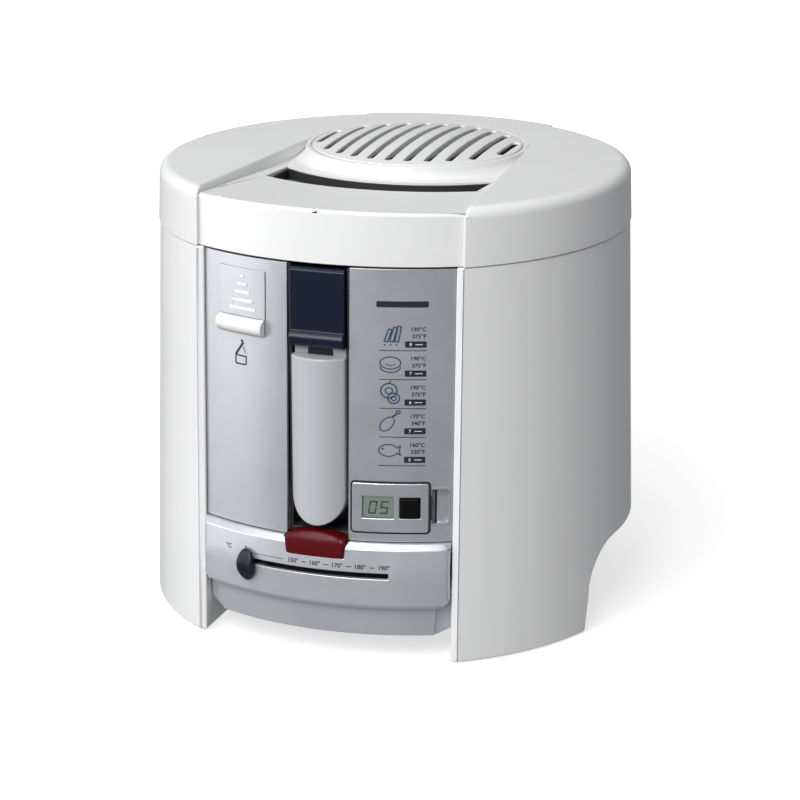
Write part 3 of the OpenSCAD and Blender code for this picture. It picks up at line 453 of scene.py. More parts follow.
def helix(centre, radius, height, turns, wire_radius, along="Z", per_turn=20):
    """Points of a coil spring with two flat end turns."""
    points = []
    count = int(turns * per_turn)
    for i in range(count + 1):
        share = i / count
        angle = 2.0 * math.pi * turns * share
        ease = min(1.0, max(0.0, (share * turns - 0.8) / (turns - 1.6)))
        rise = wire_radius + (height - 2.0 * wire_radius) * ease
        x, y = radius * math.cos(angle), radius * math.sin(angle)
        offset = (x, y, rise) if along == "Z" else (rise, x, y)
        points.append([c + o for c, o in zip(centre, offset)])
    return points


# ---------- printing on the curved front ----------


def panel_front(x, z, proud=0.0):
    """Y of the silver panel's face, or of a face that stands proud of it, in millimetres."""
    s = sizes()
    radius = s.panel_radius + proud - s.draft * (z - s.panel_foot)
    return s.panel_centre - math.sqrt(radius * radius - x * x)


def band_front(x, z):
    """Y of the control band's face, in millimetres."""
    s = sizes()
    fall = 0.9 * max(0.0, (z - s.slot_height) / 14.2)
    radius = s.band_radius - fall
    return s.band_centre - math.sqrt(radius * radius - x * x)


def wrap(bm, front, lift):
    """Lays a flat drawing in X and Z, in millimetres, on a curved face and scales it to metres."""
    for vert in bm.verts:
        x, y, z = vert.co
        vert.co = Vector((x, front(x, z) + y - lift, z)) * MM


def flat_bar(bm, x0, z0, x1, z1, depth, corner=0.0, shear=0.0):
    """A rounded flat bar in X and Z, cut across every 3 mm so that it can bend."""
    bar = bmesh.new()
    width, height = x1 - x0, z1 - z0
    cuts = max(1, math.ceil(width / 3.0))
    bmesh.ops.create_grid(bar, x_segments=cuts, y_segments=1, size=0.5)
    bmesh.ops.transform(bar, matrix=Matrix.Rotation(math.pi / 2.0, 4, "X"), verts=bar.verts)
    bmesh.ops.scale(bar, vec=(width, 1.0, height), verts=bar.verts)
    made = bmesh.ops.extrude_face_region(bar, geom=bar.faces[:])
    moved = [v for v in made["geom"] if isinstance(v, bmesh.types.BMVert)]
    bmesh.ops.translate(bar, vec=(0.0, -depth, 0.0), verts=moved)
    if corner > 0.0:
        upright = [
            e for e in bar.edges
            if abs(e.verts[0].co.y - e.verts[1].co.y) > depth * 0.5 and abs(e.verts[0].co.x) > width * 0.499
        ]
        bmesh.ops.bevel(
            bar, geom=upright, offset=corner, offset_type="OFFSET", segments=4, profile=0.5,
            affect="EDGES", clamp_overlap=True, material=-1,
        )
    bmesh.ops.recalc_face_normals(bar, faces=bar.faces)
    for vert in bar.verts:
        vert.co.x += (x0 + x1) / 2.0 + shear * vert.co.z
        vert.co.z += (z0 + z1) / 2.0
    mesh = bpy.data.meshes.new("bar")
    bar.to_mesh(mesh)
    bar.free()
    bm.from_mesh(mesh)
    bpy.data.meshes.remove(mesh)


def stroke(bm, points, width, depth):
    """A printed line along points in X and Z, built from short flat bars that overlap at their ends."""
    for (x0, z0), (x1, z1) in zip(points, points[1:]):
        length = math.hypot(x1 - x0, z1 - z0)
        turn = math.atan2(z1 - z0, x1 - x0)
        before = len(bm.verts)
        reach = length / 2.0 + width / 3.0
        flat_bar(bm, -reach, -width / 2.0, reach, width / 2.0, depth)
        bm.verts.ensure_lookup_table()
        for vert in bm.verts[before:]:
            x, z = vert.co.x, vert.co.z
            vert.co.x = (x0 + x1) / 2.0 + x * math.cos(turn) - z * math.sin(turn)
            vert.co.z = (z0 + z1) / 2.0 + x * math.sin(turn) + z * math.cos(turn)


def lettering(bm, text, x, z, height, depth, align="CENTER"):
    """Numbers and units as flat solids in X and Z, in millimetres."""
    curve = bpy.data.curves.new("numbers", "FONT")
    curve.body = text
    curve.size = height * 1.4
    curve.align_x = align
    curve.align_y = "CENTER"
    curve.extrude = depth / 2.0
    curve.resolution_u = 3
    curve.offset = height * 0.03
    holder = bpy.data.objects.new("numbers", curve)
    mesh = bpy.data.meshes.new_from_object(holder)
    mesh.transform(Matrix.Translation((x, -depth / 2.0, z)) @ Matrix.Rotation(math.pi / 2.0, 4, "X"))
    bm.from_mesh(mesh)
    bpy.data.objects.remove(holder)
    bpy.data.curves.remove(curve)
    bpy.data.meshes.remove(mesh)


def arc(x, z, rx, rz, start, end, steps=12):
    """Points of an elliptical arc in X and Z, angles in degrees."""
    turns = [math.radians(start + (end - start) * i / steps) for i in range(steps + 1)]
    return [(x + rx * math.cos(a), z + rz * math.sin(a)) for a in turns]


def print_piece(name, draw, front, material, body="housing"):
    """A printed mark: draw fills a bmesh in X and Z, which is then laid on a face."""
    bm = bmesh.new()
    draw(bm)
    wrap(bm, front, 0.0)
    return add_piece(name, bm, material, body, smooth=30.0)


# ---------- pieces ----------


class FRYER_OT_stage(bpy.types.Operator):
    """Sets the pale floor, the soft lights and the camera"""

    bl_idname = "fryer.stage"
    bl_label = "Stage"

    def execute(self, context):
        scene = context.scene
        bm = bmesh.new()
        bmesh.ops.create_grid(bm, x_segments=1, y_segments=1, size=8.0)
        mesh = bpy.data.meshes.new("floor")
        bm.to_mesh(mesh)
        bm.free()
        floor = bpy.data.objects.new("floor", mesh)
        scene.collection.objects.link(floor)
        material, nodes, links, shader, coords = new_material("floor_white")
        cloud = noise(nodes, links, coords, 3.0)
        links.new(tint(nodes, links, cloud, (0.42, 0.42, 0.42), 0.01), shader.inputs["Base Color"])
        shader.inputs["Roughness"].default_value = 0.7
        shader.inputs["Emission Color"].default_value = (1.0, 1.0, 1.0, 1.0)
        reach = nodes.new("ShaderNodeVectorMath")
        reach.operation = "LENGTH"
        links.new(coords.outputs["Object"], reach.inputs[0])
        rise = nodes.new("ShaderNodeMapRange")
        rise.inputs["From Min"].default_value = 0.1
        rise.inputs["From Max"].default_value = 0.9
        rise.inputs["To Min"].default_value = 0.68
        rise.inputs["To Max"].default_value = 0.98
        links.new(reach.outputs["Value"], rise.inputs["Value"])
        links.new(rise.outputs["Result"], shader.inputs["Emission Strength"])
        mesh.materials.append(material)
        floor.visible_diffuse = False
        floor.visible_glossy = False

        world = bpy.data.worlds.new("studio")
        world.use_nodes = True
        world.node_tree.nodes["Background"].inputs["Color"].default_value = (0.97, 0.98, 1.0, 1.0)
        world.node_tree.nodes["Background"].inputs["Strength"].default_value = 0.31
        scene.world = world
        scene.view_settings.view_transform = "Standard"

        aim = Vector((0.0, 0.0, 0.12))
        # name, azimuth, elevation, distance, size, power
        for name, azimuth, elevation, distance, side, power in (
            ("key_softbox", -8.0, 38.0, 5.0, 3.0, 250.0),
            ("left_softbox", -60.0, 7.0, 3.0, 2.2, 32.0),
            ("top_softbox", -60.0, 70.0, 1.7, 1.2, 6.0),
        ):
            light = bpy.data.lights.new(name, "AREA")
            light.shape = "SQUARE"
            light.size = side
            light.energy = power
            holder = bpy.data.objects.new(name, light)
            scene.collection.objects.link(holder)
            a, e = math.radians(azimuth), math.radians(elevation)
            away = Vector((math.sin(a) * math.cos(e), -math.cos(a) * math.cos(e), math.sin(e)))
            holder.location = aim + away * distance
            holder.rotation_euler = (-away).to_track_quat("-Z", "Y").to_euler()

        lens = bpy.data.cameras.new("camera")
        lens.sensor_width = 36.0
        lens.lens = 121.44
        lens.clip_start = 0.05
        lens.clip_end = 60.0
        camera = bpy.data.objects.new("camera", lens)
        camera.location = (0.4752, -1.3723, 0.5540)
        camera.rotation_euler = Euler((math.radians(72.85), 0.0, math.radians(19.0)), "XYZ")
        scene.collection.objects.link(camera)
        scene.camera = camera
        return {"FINISHED"}


class FRYER_OT_shell(bpy.types.Operator):
    """Rounds the white shell with its two fins and hand grips"""

    bl_idname = "fryer.shell"
    bl_label = "Shell"

    def execute(self, context):
        round_node("outer_shell", sizes().shell_edge)
        return {"FINISHED"}


class FRYER_OT_base(bpy.types.Operator):
    """Finishes the floor of the body, its feet, screws, gland and rating plate"""

    bl_idname = "fryer.base"
    bl_label = "Base"

    def execute(self, context):
        edge = sizes().small_edge
        round_node("base_plate", edge, 2)
        round_node("feet", 0.8)
        round_node("base_screws", 0.25, 2)
        round_node("cord_gland", 0.5)
        paint_node("rating_plate")
        return {"FINISHED"}


class FRYER_OT_front(bpy.types.Operator):
    """Finishes the silver panels, the control band and the dark niche"""

    bl_idname = "fryer.front"
    bl_label = "Front panels"

    def execute(self, context):
        edge = sizes().small_edge
        round_node("left_panel", edge, 2)
        round_node("right_panel", edge, 2)
        bm = cad_copy("control_band")
        round_edges(bm, 1.9, 4, 30.0, self.at_end)
        round_node("control_band", 0.5, 3, "silver_band", bm=bm, angle=16.0)
        round_node("niche_liner", edge, 2)
        paint_node("timer_tray")
        return {"FINISHED"}

    @staticmethod
    def at_end(m):
        """On the upright front edges at the band's two ends."""
        return abs(m.x) > 69.0 and 36.5 < m.z < 66.0 and m.y < -113.6


class FRYER_OT_controls(bpy.types.Operator):
    """Finishes the temperature slider, the lens and its lamp"""

    bl_idname = "fryer.controls"
    bl_label = "Controls"

    def execute(self, context):
        bm = cad_copy("temperature_knob")
        round_edges(bm, 0.9, 4)
        round_node("temperature_knob", 0.1, 1, bm=bm)
        round_node("indicator_lens", 1.1, 4)
        paint_node("indicator_lamp")
        paint_node("slider_track")
        round_node("slider_carriage", 0.4, 2)
        self.knob_ribs()
        return {"FINISHED"}

    def knob_ribs(self):
        """Three fine ribs down the knob for the thumb."""
        low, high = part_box("temperature_knob")
        middle = (low + high) / 2.0 / MM
        turn = math.radians(-14.3)
        crest_out, crest_z, crown = 163.4, 47.8, 16.0
        half_length, half_width, steps = 5.6, 5.1, 8
        paths = []
        for shift in (-1.6, 0.0, 1.6):
            points = []
            for i in range(steps + 1):
                z = middle.z - half_length + 2.0 * half_length * i / steps
                out = crest_out - crown + math.sqrt(crown ** 2 - (z - crest_z) ** 2)
                fall = (1.0 - math.cos(math.asin(shift / half_width))) * 0.2
                x = (out - fall) * math.sin(turn) + shift * math.cos(turn)
                y = sizes().band_centre - (out - fall) * math.cos(turn) + shift * math.sin(turn)
                points.append((x, y, z))
            paths.append(points)
        wire("knob_ribs", paths, 0.22, "navy_plastic", "temperature_slider")


class FRYER_OT_release(bpy.types.Operator):
    """Builds the lid release: plate, push bar, raised bars, latch and spring"""

    bl_idname = "fryer.release"
    bl_label = "Lid release"
    sunk = 0.8  # how far the plate's face lies behind its CAD face

    def execute(self, context):
        plate = cad_copy("release_slider")
        for vert in plate.verts:
            x, y, z = vert.co / MM
            if y < self.plate_front(x, z) + 0.3:
                vert.co.y = (self.plate_front(x, z) + self.sunk) * MM
        round_node("release_slider", 0.2, 2, "silver_paint", bm=plate)
        round_node("release_bar", 0.3, 2)
        bm = bmesh.new()
        centre_x, foot_z, pitch, height = -44.0, 184.6, 4.3, 1.7
        for row in range(5):
            half = 8.3 - 1.72 * row
            z = foot_z + pitch * row
            flat_bar(bm, centre_x - half, z, centre_x + half, z + height, 0.45, 0.75)
        wrap(bm, self.plate_front, -self.sunk - 0.05)
        round_edges(bm, 0.2, 2)
        add_piece("release_bars", bm, "white_plastic", "release")
        round_node("latch_hook", 0.4, 2)
        round_node("latch_pin", 0.2, 2)
        low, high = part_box("release_spring")
        middle = (low + high) / 2.0 / MM
        coil = helix((middle.x, middle.y, low.z / MM), 1.8, (high.z - low.z) / MM, 9.0, 0.4)
        wire("release_coil", [coil], 0.4, "steel", "housing", ("release_spring",))
        return {"FINISHED"}

    @staticmethod
    def plate_front(x, z):
        """Y of the release plate's face."""
        return panel_front(x, z, 1.3)


class FRYER_OT_lid(bpy.types.Operator):
    """Rounds the lid with its sunken band and raised ring, and finishes what it carries"""

    bl_idname = "fryer.lid"
    bl_label = "Lid"

    def execute(self, context):
        edge = sizes().lid_edge
        bm = cad_copy("lid_outer", halved=True)
        round_edges(bm, edge, 5, where=self.on_top, outward=True)
        round_edges(bm, 0.35, 2, outward=True)
        slot = SLOT_OF["lid_outer"]
        add_piece("lid_outer_finished", bm, slot, "lid", ("lid_outer",))
        paint_node("lid_inner")
        round_node("lid_gasket", 0.5, 3)
        round_node("lid_catch", 0.3, 2)
        round_node("lid_screws", 0.25, 2)
        return {"FINISHED"}

    @staticmethod
    def on_window(m):
        """On the edge of the crescent window."""
        front = abs(math.hypot(m.x, m.y - 46.5) - 106.5) < 1.0
        rear = abs(math.hypot(m.x, m.y - 62.4) - 93.4) < 1.0
        side = abs(abs(m.x) - 59.6) < 0.5
        return m.y < 0.0 and abs(m.x) < 60.5 and (front or rear or side)

    def on_top(self, m):
        """On the wings' and the band's upper edges, but not on the ring or the window."""
        if abs(abs(m.x) - 73.0) < 0.3 and m.y < -105.2 and m.z > 216.0:
            return True
        clear_of_ring = math.hypot(m.x, m.y - 38.0) > 70.5
        outside = m.z > 237.5 and (m.y < 110.0 or abs(m.x) < 55.5)
        return outside and clear_of_ring and not self.on_window(m)


class FRYER_OT_window(bpy.types.Operator):
    """Finishes the crescent window and its black seal"""

    bl_idname = "fryer.window"
    bl_label = "Window"

    def execute(self, context):
        paint_node("window_pane")
        round_node("window_gasket", 0.3, 3)
        return {"FINISHED"}


class FRYER_OT_filters(bpy.types.Operator):
    """Finishes the round slotted cover, the filter tray and the two filters"""

    bl_idname = "fryer.filters"
    bl_label = "Filters"

    def execute(self, context):
        round_node("filter_cover", 0.6, 3)
        round_node("filter_tray", 0.3, 2)
        self.filter_pad("foam_pad", "foam_filter", "foam", 0.5)
        self.filter_pad("carbon_pad", "carbon_filter", "carbon", 0.7)
        return {"FINISHED"}

    @staticmethod
    def filter_pad(name, node, material, sag):
        """A pressed round pad with soft edges and a slightly uneven top."""
        low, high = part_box(node)
        middle = (low + high) / 2.0 / MM
        radius = (high.x - low.x) / 2.0 / MM
        height = (high.z - low.z) / MM
        bm = bmesh.new()
        rings = 14
        for i in range(rings + 1):
            share = i / rings
            bm.verts.new((radius * share, 0.0, height - sag * (0.5 + 0.5 * math.cos(9.0 * share)) - 0.1))
        for x, z in ((radius, height * 0.45), (radius, 0.0), (0.0, 0.0)):
            bm.verts.new((x, 0.0, z))
        bm.verts.ensure_lookup_table()
        for a, b in zip(bm.verts[:], bm.verts[1:]):
            bm.edges.new((a, b))
        bmesh.ops.spin(
            bm, geom=bm.verts[:] + bm.edges[:], cent=(0, 0, 0), axis=(0, 0, 1), dvec=(0, 0, 0),
            angle=2.0 * math.pi, steps=72, use_merge=True,
        )
        bmesh.ops.remove_doubles(bm, verts=bm.verts, dist=0.001)
        bmesh.ops.recalc_face_normals(bm, faces=bm.faces)
        bmesh.ops.scale(bm, vec=(MM, MM, MM), verts=bm.verts)
        bmesh.ops.translate(bm, vec=(middle.x * MM, middle.y * MM, low.z), verts=bm.verts)
        round_edges(bm, 0.8, 3)
        add_piece(name, bm, material, "lid", (node,))


class FRYER_OT_handle(bpy.types.Operator):
    """Finishes the folding handle, its slide, pins and spring"""

    bl_idname = "fryer.handle"
    bl_label = "Handle"

    def execute(self, context):
        round_node("handle_grip", 0.9, 4)
        round_node("handle_slide", 0.45, 3)
        round_node("handle_frame", 0.2, 2)
        self.neck("slide_neck", "navy_plastic", ((-7.0, 7.0),), -118.45, 163.0, 170.9)
        shoulders = ((-14.2, -7.3), (7.3, 14.2))
        self.neck("grip_shoulders", "grip_plastic", shoulders, -118.35, 164.0, 169.6)
        paint_node("crank_pin")
        paint_node("handle_pin")
        coil = helix((0.0, -119.6, 180.0), 1.05, 14.0, 9.0, 0.25)
        spring = wire("slide_coil", [coil], 0.25, "steel", "handle", ("slide_spring",))
        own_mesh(spring)
        return {"FINISHED"}

    @staticmethod
    def neck(name, material, spans, front, low, high):
        """Blocks between the grip and the slide, from x to x."""
        bm = bmesh.new()
        for x0, x1 in spans:
            made = bmesh.ops.create_cube(bm, size=1.0)["verts"]
            bmesh.ops.scale(bm, vec=((x1 - x0) * MM, 1.7 * MM, (high - low) * MM), verts=made)
            middle = Vector(((x0 + x1) / 2.0, front + 0.85, (low + high) / 2.0))
            bmesh.ops.translate(bm, vec=middle * MM, verts=made)
        round_edges(bm, 0.3, 2)
        add_piece(name, bm, material, "handle")


class FRYER_OT_linkage(bpy.types.Operator):
    """Finishes the lifting links, the carriage and its guide"""

    bl_idname = "fryer.linkage"
    bl_label = "Lifting linkage"

    def execute(self, context):
        round_node("lift_links", 0.25, 2)
        round_node("lift_carriage", 0.3, 2)
        round_node("carriage_guide", 0.25, 2)
        return {"FINISHED"}


class FRYER_OT_basket(bpy.types.Operator):
    """Weaves the wire basket and finishes its rim and bracket"""

    bl_idname = "fryer.basket"
    bl_label = "Basket"

    def execute(self, context):
        low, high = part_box("basket")
        middle = (low + high) / 2.0 / MM
        foot_z, top_z = low.z / MM, high.z / MM
        radius = (high.x - low.x) / 2.0 / MM
        thin = sizes().basket_wire
        count = sizes().basket_ribs
        foot_r = radius - 6.0

        def wall_r(z):
            return foot_r + (radius - foot_r) * (z - foot_z) / (top_z - foot_z)

        ribs = []
        for i in range(count):
            a = 2.0 * math.pi * i / count
            profile = [(wall_r(top_z) - thin, top_z + 1.0), (wall_r(foot_z + 8.0) - thin, foot_z + 8.0)]
            for step in range(1, 4):
                t = math.radians(30.0 * step)
                profile.append((foot_r - 7.4 + 7.0 * math.cos(t), foot_z + 7.0 + thin - 7.0 * math.sin(t)))
            profile.append((9.0 if i % 2 == 0 else 34.0, foot_z + thin))
            ribs.append([
                (r * math.cos(a), middle.y + r * math.sin(a), z) for r, z in profile
            ])
        wire("basket_ribs", ribs, thin, "basket_wire", "basket_lift", ("basket",), sides=1)
        hoops = []
        for row in range(1, 10):
            z = foot_z + 7.0 * row
            hoops.append((wall_r(z) - 2.6 * thin, z))
        for row in range(1, 8):
            hoops.append((10.0 * row, foot_z + 2.4 * thin))
        rings = [
            [
                (r * math.cos(2.0 * math.pi * i / 96), middle.y + r * math.sin(2.0 * math.pi * i / 96), z)
                for i in range(96)
            ]
            for r, z in hoops
        ]
        wire("basket_hoops", rings, thin, "basket_wire", "basket_lift", closed=True, sides=1)
        paint_node("basket_rim")
        round_node("basket_bracket", 0.4, 3)
        return {"FINISHED"}


class FRYER_OT_timer(bpy.types.Operator):
    """Finishes the pull-out timer with its display, digits and button"""

    bl_idname = "fryer.timer"
    bl_label = "Timer"

    def execute(self, context):
        bm = cad_copy("timer_housing")
        round_edges(bm, 1.2, 4, where=self.at_corner)
        round_node("timer_housing", 0.5, 3, bm=bm)
        round_node("timer_display", 0.3, 2)
        round_node("timer_button", 0.9, 3)
        paint_node("timer_board")
        round_node("timer_battery", 0.4, 2)
        bm = bmesh.new()
        lit = {"0": "abcdef", "5": "acdfg"}
        for place, digit in ((29.9, "0"), (35.8, "5")):
            self.draw_digit(bm, place, lit[digit])
        wrap(bm, self.display_front, 0.02)
        add_piece("display_digits", bm, "digit", "timer")
        return {"FINISHED"}

    @staticmethod
    def at_corner(m):
        """On one of the housing's four long corners."""
        return min(abs(m.x - 19.2), abs(m.x - 57.8)) < 0.4 and min(abs(m.z - 72.8), abs(m.z - 99.4)) < 0.4

    @staticmethod
    def display_front(x, z):
        """Y of the display's face."""
        return panel_front(x, z) - 0.1

    @staticmethod
    def draw_digit(bm, x, segments):
        """One leaning seven-segment digit about x."""
        low, mid, high = 82.7, 86.2, 89.7
        half, line = 2.0, 0.75
        bars = {
            "a": (x - half, high - line, x + half, high),
            "d": (x - half, low, x + half, low + line),
            "g": (x - half, mid - line / 2.0, x + half, mid + line / 2.0),
            "b": (x + half - line, mid + 0.3, x + half, high - 0.3),
            "c": (x + half - line, low + 0.3, x + half, mid - 0.3),
            "e": (x - half, low + 0.3, x - half + line, mid - 0.3),
            "f": (x - half, mid + 0.3, x - half + line, high - 0.3),
        }
        lean = 0.16
        for name in segments:
            x0, z0, x1, z1 = bars[name]
            shift = lean * ((z0 + z1) / 2.0 - mid)
            flat_bar(bm, x0 + shift, z0, x1 + shift, z1, 0.05, 0.0, lean)


class FRYER_OT_heating(bpy.types.Operator):
    """Finishes the bowl, the heater and what stands round them"""

    bl_idname = "fryer.heating"
    bl_label = "Heating"

    def execute(self, context):
        round_node("bowl", 0.6, 2)
        round_node("top_deck", 0.4, 2)
        round_node("heat_shield", 0.2, 1)
        round_node("heater_plate", 0.5, 2)
        paint_node("heating_element", "tube_scale")
        round_node("thermostat", 0.5, 2)
        paint_node("thermal_fuse")
        round_node("terminal_block", 0.4, 2)
        return {"FINISHED"}


class FRYER_OT_hinge(bpy.types.Operator):
    """Finishes the lid's hinge and winds its spring"""

    bl_idname = "fryer.hinge"
    bl_label = "Hinge"

    def execute(self, context):
        round_node("hinge_bracket", 0.3, 2)
        round_node("hinge_pin", 0.3, 2)
        low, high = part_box("hinge_spring")
        middle = (low + high) / 2.0 / MM
        radius = (high.z - low.z) / 2.0 / MM - 0.6
        coil = helix((low.x / MM, middle.y, middle.z), radius, (high.x - low.x) / MM, 9.0, 0.6, "X")
        wire("hinge_coil", [coil], 0.6, "steel", "housing", ("hinge_spring",))
        return {"FINISHED"}


class FRYER_OT_marks(bpy.types.Operator):
    """Prints the scale, the food table and the lid icon, with a plain bar for a name"""

    bl_idname = "fryer.marks"
    bl_label = "Printed marks"

    def execute(self, context):
        print_piece("scale_numbers", self.draw_scale, band_front, "ink_dark")
        print_piece("lid_icon", self.draw_lid_icon, panel_front, "ink_dark")
        print_piece("name_badge", self.draw_badge, panel_front, "ink_dark")
        print_piece("food_table", self.draw_table, panel_front, "ink_dark")
        print_piece("food_icons", self.draw_foods, panel_front, "ink_blue")
        print_piece("food_minutes", self.draw_minutes, self.over_bars, "ink_light")
        # painted shade: a dark strip stands for the shaded gap round the timer and beside its finger notch
        print_piece("timer_gap_shade", self.draw_gap_shade, panel_front, "rubber_black")
        print_piece("notch_rim", self.draw_rim, panel_front, "silver_paint")
        return {"FINISHED"}

    @staticmethod
    def corners(x0, z0, x1, z1, r):
        """Points round a box with round corners."""
        points = arc(x1 - r, z1 - r, r, r, 90.0, 0.0, 5) + arc(x1 - r, z0 + r, r, r, 0.0, -90.0, 5)
        points += arc(x0 + r, z0 + r, r, r, 270.0, 180.0, 5) + arc(x0 + r, z1 - r, r, r, 180.0, 90.0, 5)
        return points + points[:1]

    def draw_gap_shade(self, bm):
        """Painted shade: a dark strip over the gap round the timer's opening, wider beside the finger
        notch.
        """
        stroke(bm, self.corners(18.6, 72.2, 58.4, 100.0, 1.9), 0.9, 0.1)
        flat_bar(bm, 58.0, 79.2, 59.5, 92.6, 0.1, 0.6)

    def draw_rim(self, bm):
        """Raised rim round the finger notch."""
        rim = [(59.4, 96.6)] + arc(65.6, 94.4, 2.3, 2.2, 90.0, 0.0, 5)
        rim += arc(65.6, 79.2, 2.3, 2.2, 0.0, -90.0, 5) + [(59.4, 77.0)]
        stroke(bm, rim, 0.8, 0.4)

    def draw_scale(self, bm):
        """The zero, the numbers 150 to 190 with dashes between them, and the thin line before them."""
        depth = sizes().print_height
        line_z = 54.4
        first_x, step_x = -12.1, 12.33
        lettering(bm, "0", -40.7, 56.0, 2.3, depth)
        lettering(bm, "°C", -51.8, 55.2, 2.5, depth)
        flat_bar(bm, -37.6, 54.2, -17.6, 54.5, depth)
        for i in range(5):
            x = first_x + step_x * i
            lettering(bm, f"{150 + 10 * i}°", x, line_z, 2.4, depth)
            if i < 4:
                flat_bar(bm, x + 4.9, line_z - 0.25, x + step_x - 4.7, line_z + 0.2, depth)

    def draw_lid_icon(self, bm):
        """A box with its lid swung open."""
        depth, width = sizes().print_height, 0.8
        x, z = -45.6, 155.2
        box = [(x - 2.8, z + 4.6), (x - 3.1, z + 0.9), (x - 2.4, z), (x + 3.2, z), (x + 3.7, z + 0.8),
               (x + 3.7, z + 4.4), (x - 2.8, z + 4.6)]
        stroke(bm, box, width, depth)
        stroke(bm, [(x - 2.9, z + 4.9), (x + 1.6, z + 11.4)], width * 1.6, depth)
        stroke(bm, [(x + 1.6, z + 11.4), (x + 0.9, z + 12.8)], width * 1.6, depth)
        stroke(bm, [(x + 1.9, z + 9.4), (x + 3.4, z + 6.4)], width * 0.6, depth)

    def draw_badge(self, bm):
        """A plain flat bar, in the place of a name."""
        middle_z, half_height = 195.0, 1.6
        flat_bar(bm, 31.0, middle_z - half_height, 56.6, middle_z + half_height, sizes().print_height, 0.6)

    def rows(self):
        """Height of each row's lower line, from the top."""
        return [170.7 - 15.4 * i for i in range(5)]

    def draw_table(self, bm):
        """Lines, temperature values and black bars of the food table."""
        depth = sizes().print_height
        values = (("190°C", "375°F"), ("190°C", "375°F"), ("190°C", "375°F"), ("170°C", "340°F"),
                  ("160°C", "320°F"))
        for z, (celsius, fahrenheit) in zip(self.rows(), values):
            flat_bar(bm, 32.7, z - 0.2, 56.0, z + 0.2, depth)
            lettering(bm, celsius, 55.6, z + 11.1, 2.1, depth, "RIGHT")
            lettering(bm, fahrenheit, 55.6, z + 7.4, 2.1, depth, "RIGHT")
            flat_bar(bm, 45.4, z + 1.6, 55.8, z + 4.9, depth, 0.4)

    @staticmethod
    def over_bars(x, z):
        """Y just in front of the printed bars."""
        return panel_front(x, z) - sizes().print_height

    def draw_minutes(self, bm):
        """A light number on each black bar."""
        for z, minutes in zip(self.rows(), ("8", "7", "6", "7", "5")):
            lettering(bm, minutes, 48.2, z + 3.2, 1.6, 0.03)
            flat_bar(bm, 50.4, z + 3.0, 54.0, z + 3.4, 0.03)

    def draw_foods(self, bm):
        """Outline pictures of fried foods."""
        depth, width = sizes().print_height, 0.62
        x = 38.2
        chips, roll, rings, leg, fish = (z + 8.2 for z in self.rows())
        for shift, lean, length in ((-3.2, 2.2, 6.2), (-0.4, 2.0, 7.2), (2.2, 1.4, 7.8)):
            low = chips - 3.4
            quad = [(x + shift, low), (x + shift + 1.7, low - 0.3), (x + shift + 1.7 + lean, low + length),
                    (x + shift + lean, low + length + 0.3), (x + shift, low)]
            stroke(bm, quad, width * 1.15, depth)
        for dot in (-3.0, 0.0, 3.0):
            flat_bar(bm, x + dot - 0.45, chips - 5.7, x + dot + 0.45, chips - 4.8, depth, 0.4)
        stroke(bm, arc(x, roll + 0.6, 5.2, 3.2, 0.0, 360.0, 22), width, depth)
        stroke(bm, arc(x, roll - 1.2, 5.2, 3.2, 190.0, 350.0), width, depth)
        stroke(bm, [(x - 2.4, roll - 0.2), (x, roll - 0.8), (x + 2.6, roll - 0.1)], width * 0.7, depth)
        for dx, dz, r in ((-0.6, 1.2, 4.1), (1.8, -2.8, 2.9)):
            stroke(bm, arc(x + dx, rings + dz, r, r * 0.95, 0.0, 360.0, 22), width * 1.2, depth)
            stroke(bm, arc(x + dx, rings + dz, r * 0.45, r * 0.4, 0.0, 360.0, 14), width, depth)
        stroke(bm, [(x - 0.6, rings + 5.0), (x + 0.2, rings + 6.4)], width, depth)
        thigh = arc(0.0, 0.0, 4.6, 2.7, 20.0, 340.0, 20)
        turn = math.radians(48.0)
        leaned = [
            (x - 1.4 + px * math.cos(turn) - pz * math.sin(turn),
             leg - 1.2 + px * math.sin(turn) + pz * math.cos(turn)) for px, pz in thigh
        ]
        stroke(bm, leaned, width, depth)
        stroke(bm, [(x + 1.2, leg + 2.4), (x + 3.6, leg + 4.6)], width * 1.8, depth)
        stroke(bm, arc(x + 4.2, leg + 5.2, 0.9, 0.9, 0.0, 360.0, 10), width, depth)
        body = arc(x - 0.6, fish, 4.9, 3.2, 25.0, 335.0, 22)
        stroke(bm, body, width, depth)
        tail = [(x + 3.9, fish + 1.3), (x + 5.4, fish + 2.6), (x + 4.9, fish), (x + 5.4, fish - 2.6),
                (x + 3.9, fish - 1.3)]
        stroke(bm, tail, width, depth)
        stroke(bm, arc(x - 3.4, fish + 0.9, 0.4, 0.4, 0.0, 360.0, 8), width * 0.7, depth)


PIECES = (
    FRYER_OT_stage, FRYER_OT_shell, FRYER_OT_base, FRYER_OT_front, FRYER_OT_controls,
    FRYER_OT_release, FRYER_OT_lid, FRYER_OT_window, FRYER_OT_filters, FRYER_OT_handle,
    FRYER_OT_linkage, FRYER_OT_basket, FRYER_OT_timer, FRYER_OT_heating, FRYER_OT_hinge,
    FRYER_OT_marks,
)


class FRYER_PT_panel(bpy.types.Panel):
    """Sizes, colours and pieces of the fryer"""

    bl_idname = "FRYER_PT_panel"
    bl_label = "Deep Fryer"
    bl_space_type = "VIEW_3D"
    bl_region_type = "UI"
    bl_category = "Fryer"

    def draw(self, context):
        layout = self.layout
        for group in (context.scene.fryer_sizes, context.scene.fryer_colours):
            column = layout.column(align=True)
            for field in group.bl_rna.properties:
                if field.identifier not in ("rna_type", "name"):
                    column.prop(group, field.identifier)
        for piece in PIECES:
            layout.operator(piece.bl_idname)


CLASSES = (FryerSizes, FryerColours) + PIECES + (FRYER_PT_panel,)


def register():
    for cls in CLASSES:
        bpy.utils.register_class(cls)
    bpy.types.Scene.fryer_sizes = bpy.props.PointerProperty(type=FryerSizes)
    bpy.types.Scene.fryer_colours = bpy.props.PointerProperty(type=FryerColours)


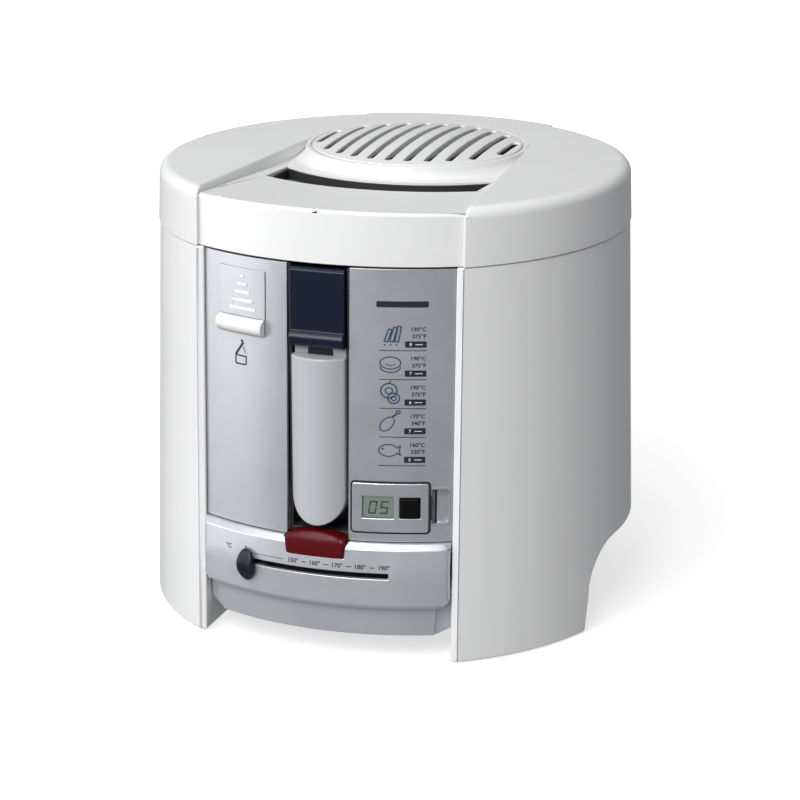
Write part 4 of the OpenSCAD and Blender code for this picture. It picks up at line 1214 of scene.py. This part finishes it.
def unregister():
    del bpy.types.Scene.fryer_colours
    del bpy.types.Scene.fryer_sizes
    for cls in reversed(CLASSES):
        bpy.utils.unregister_class(cls)


def main():
    register()
    for piece in PIECES:
        group, call = piece.bl_idname.split(".")
        getattr(getattr(bpy.ops, group), call)()


if __name__ == "__main__":
    main()
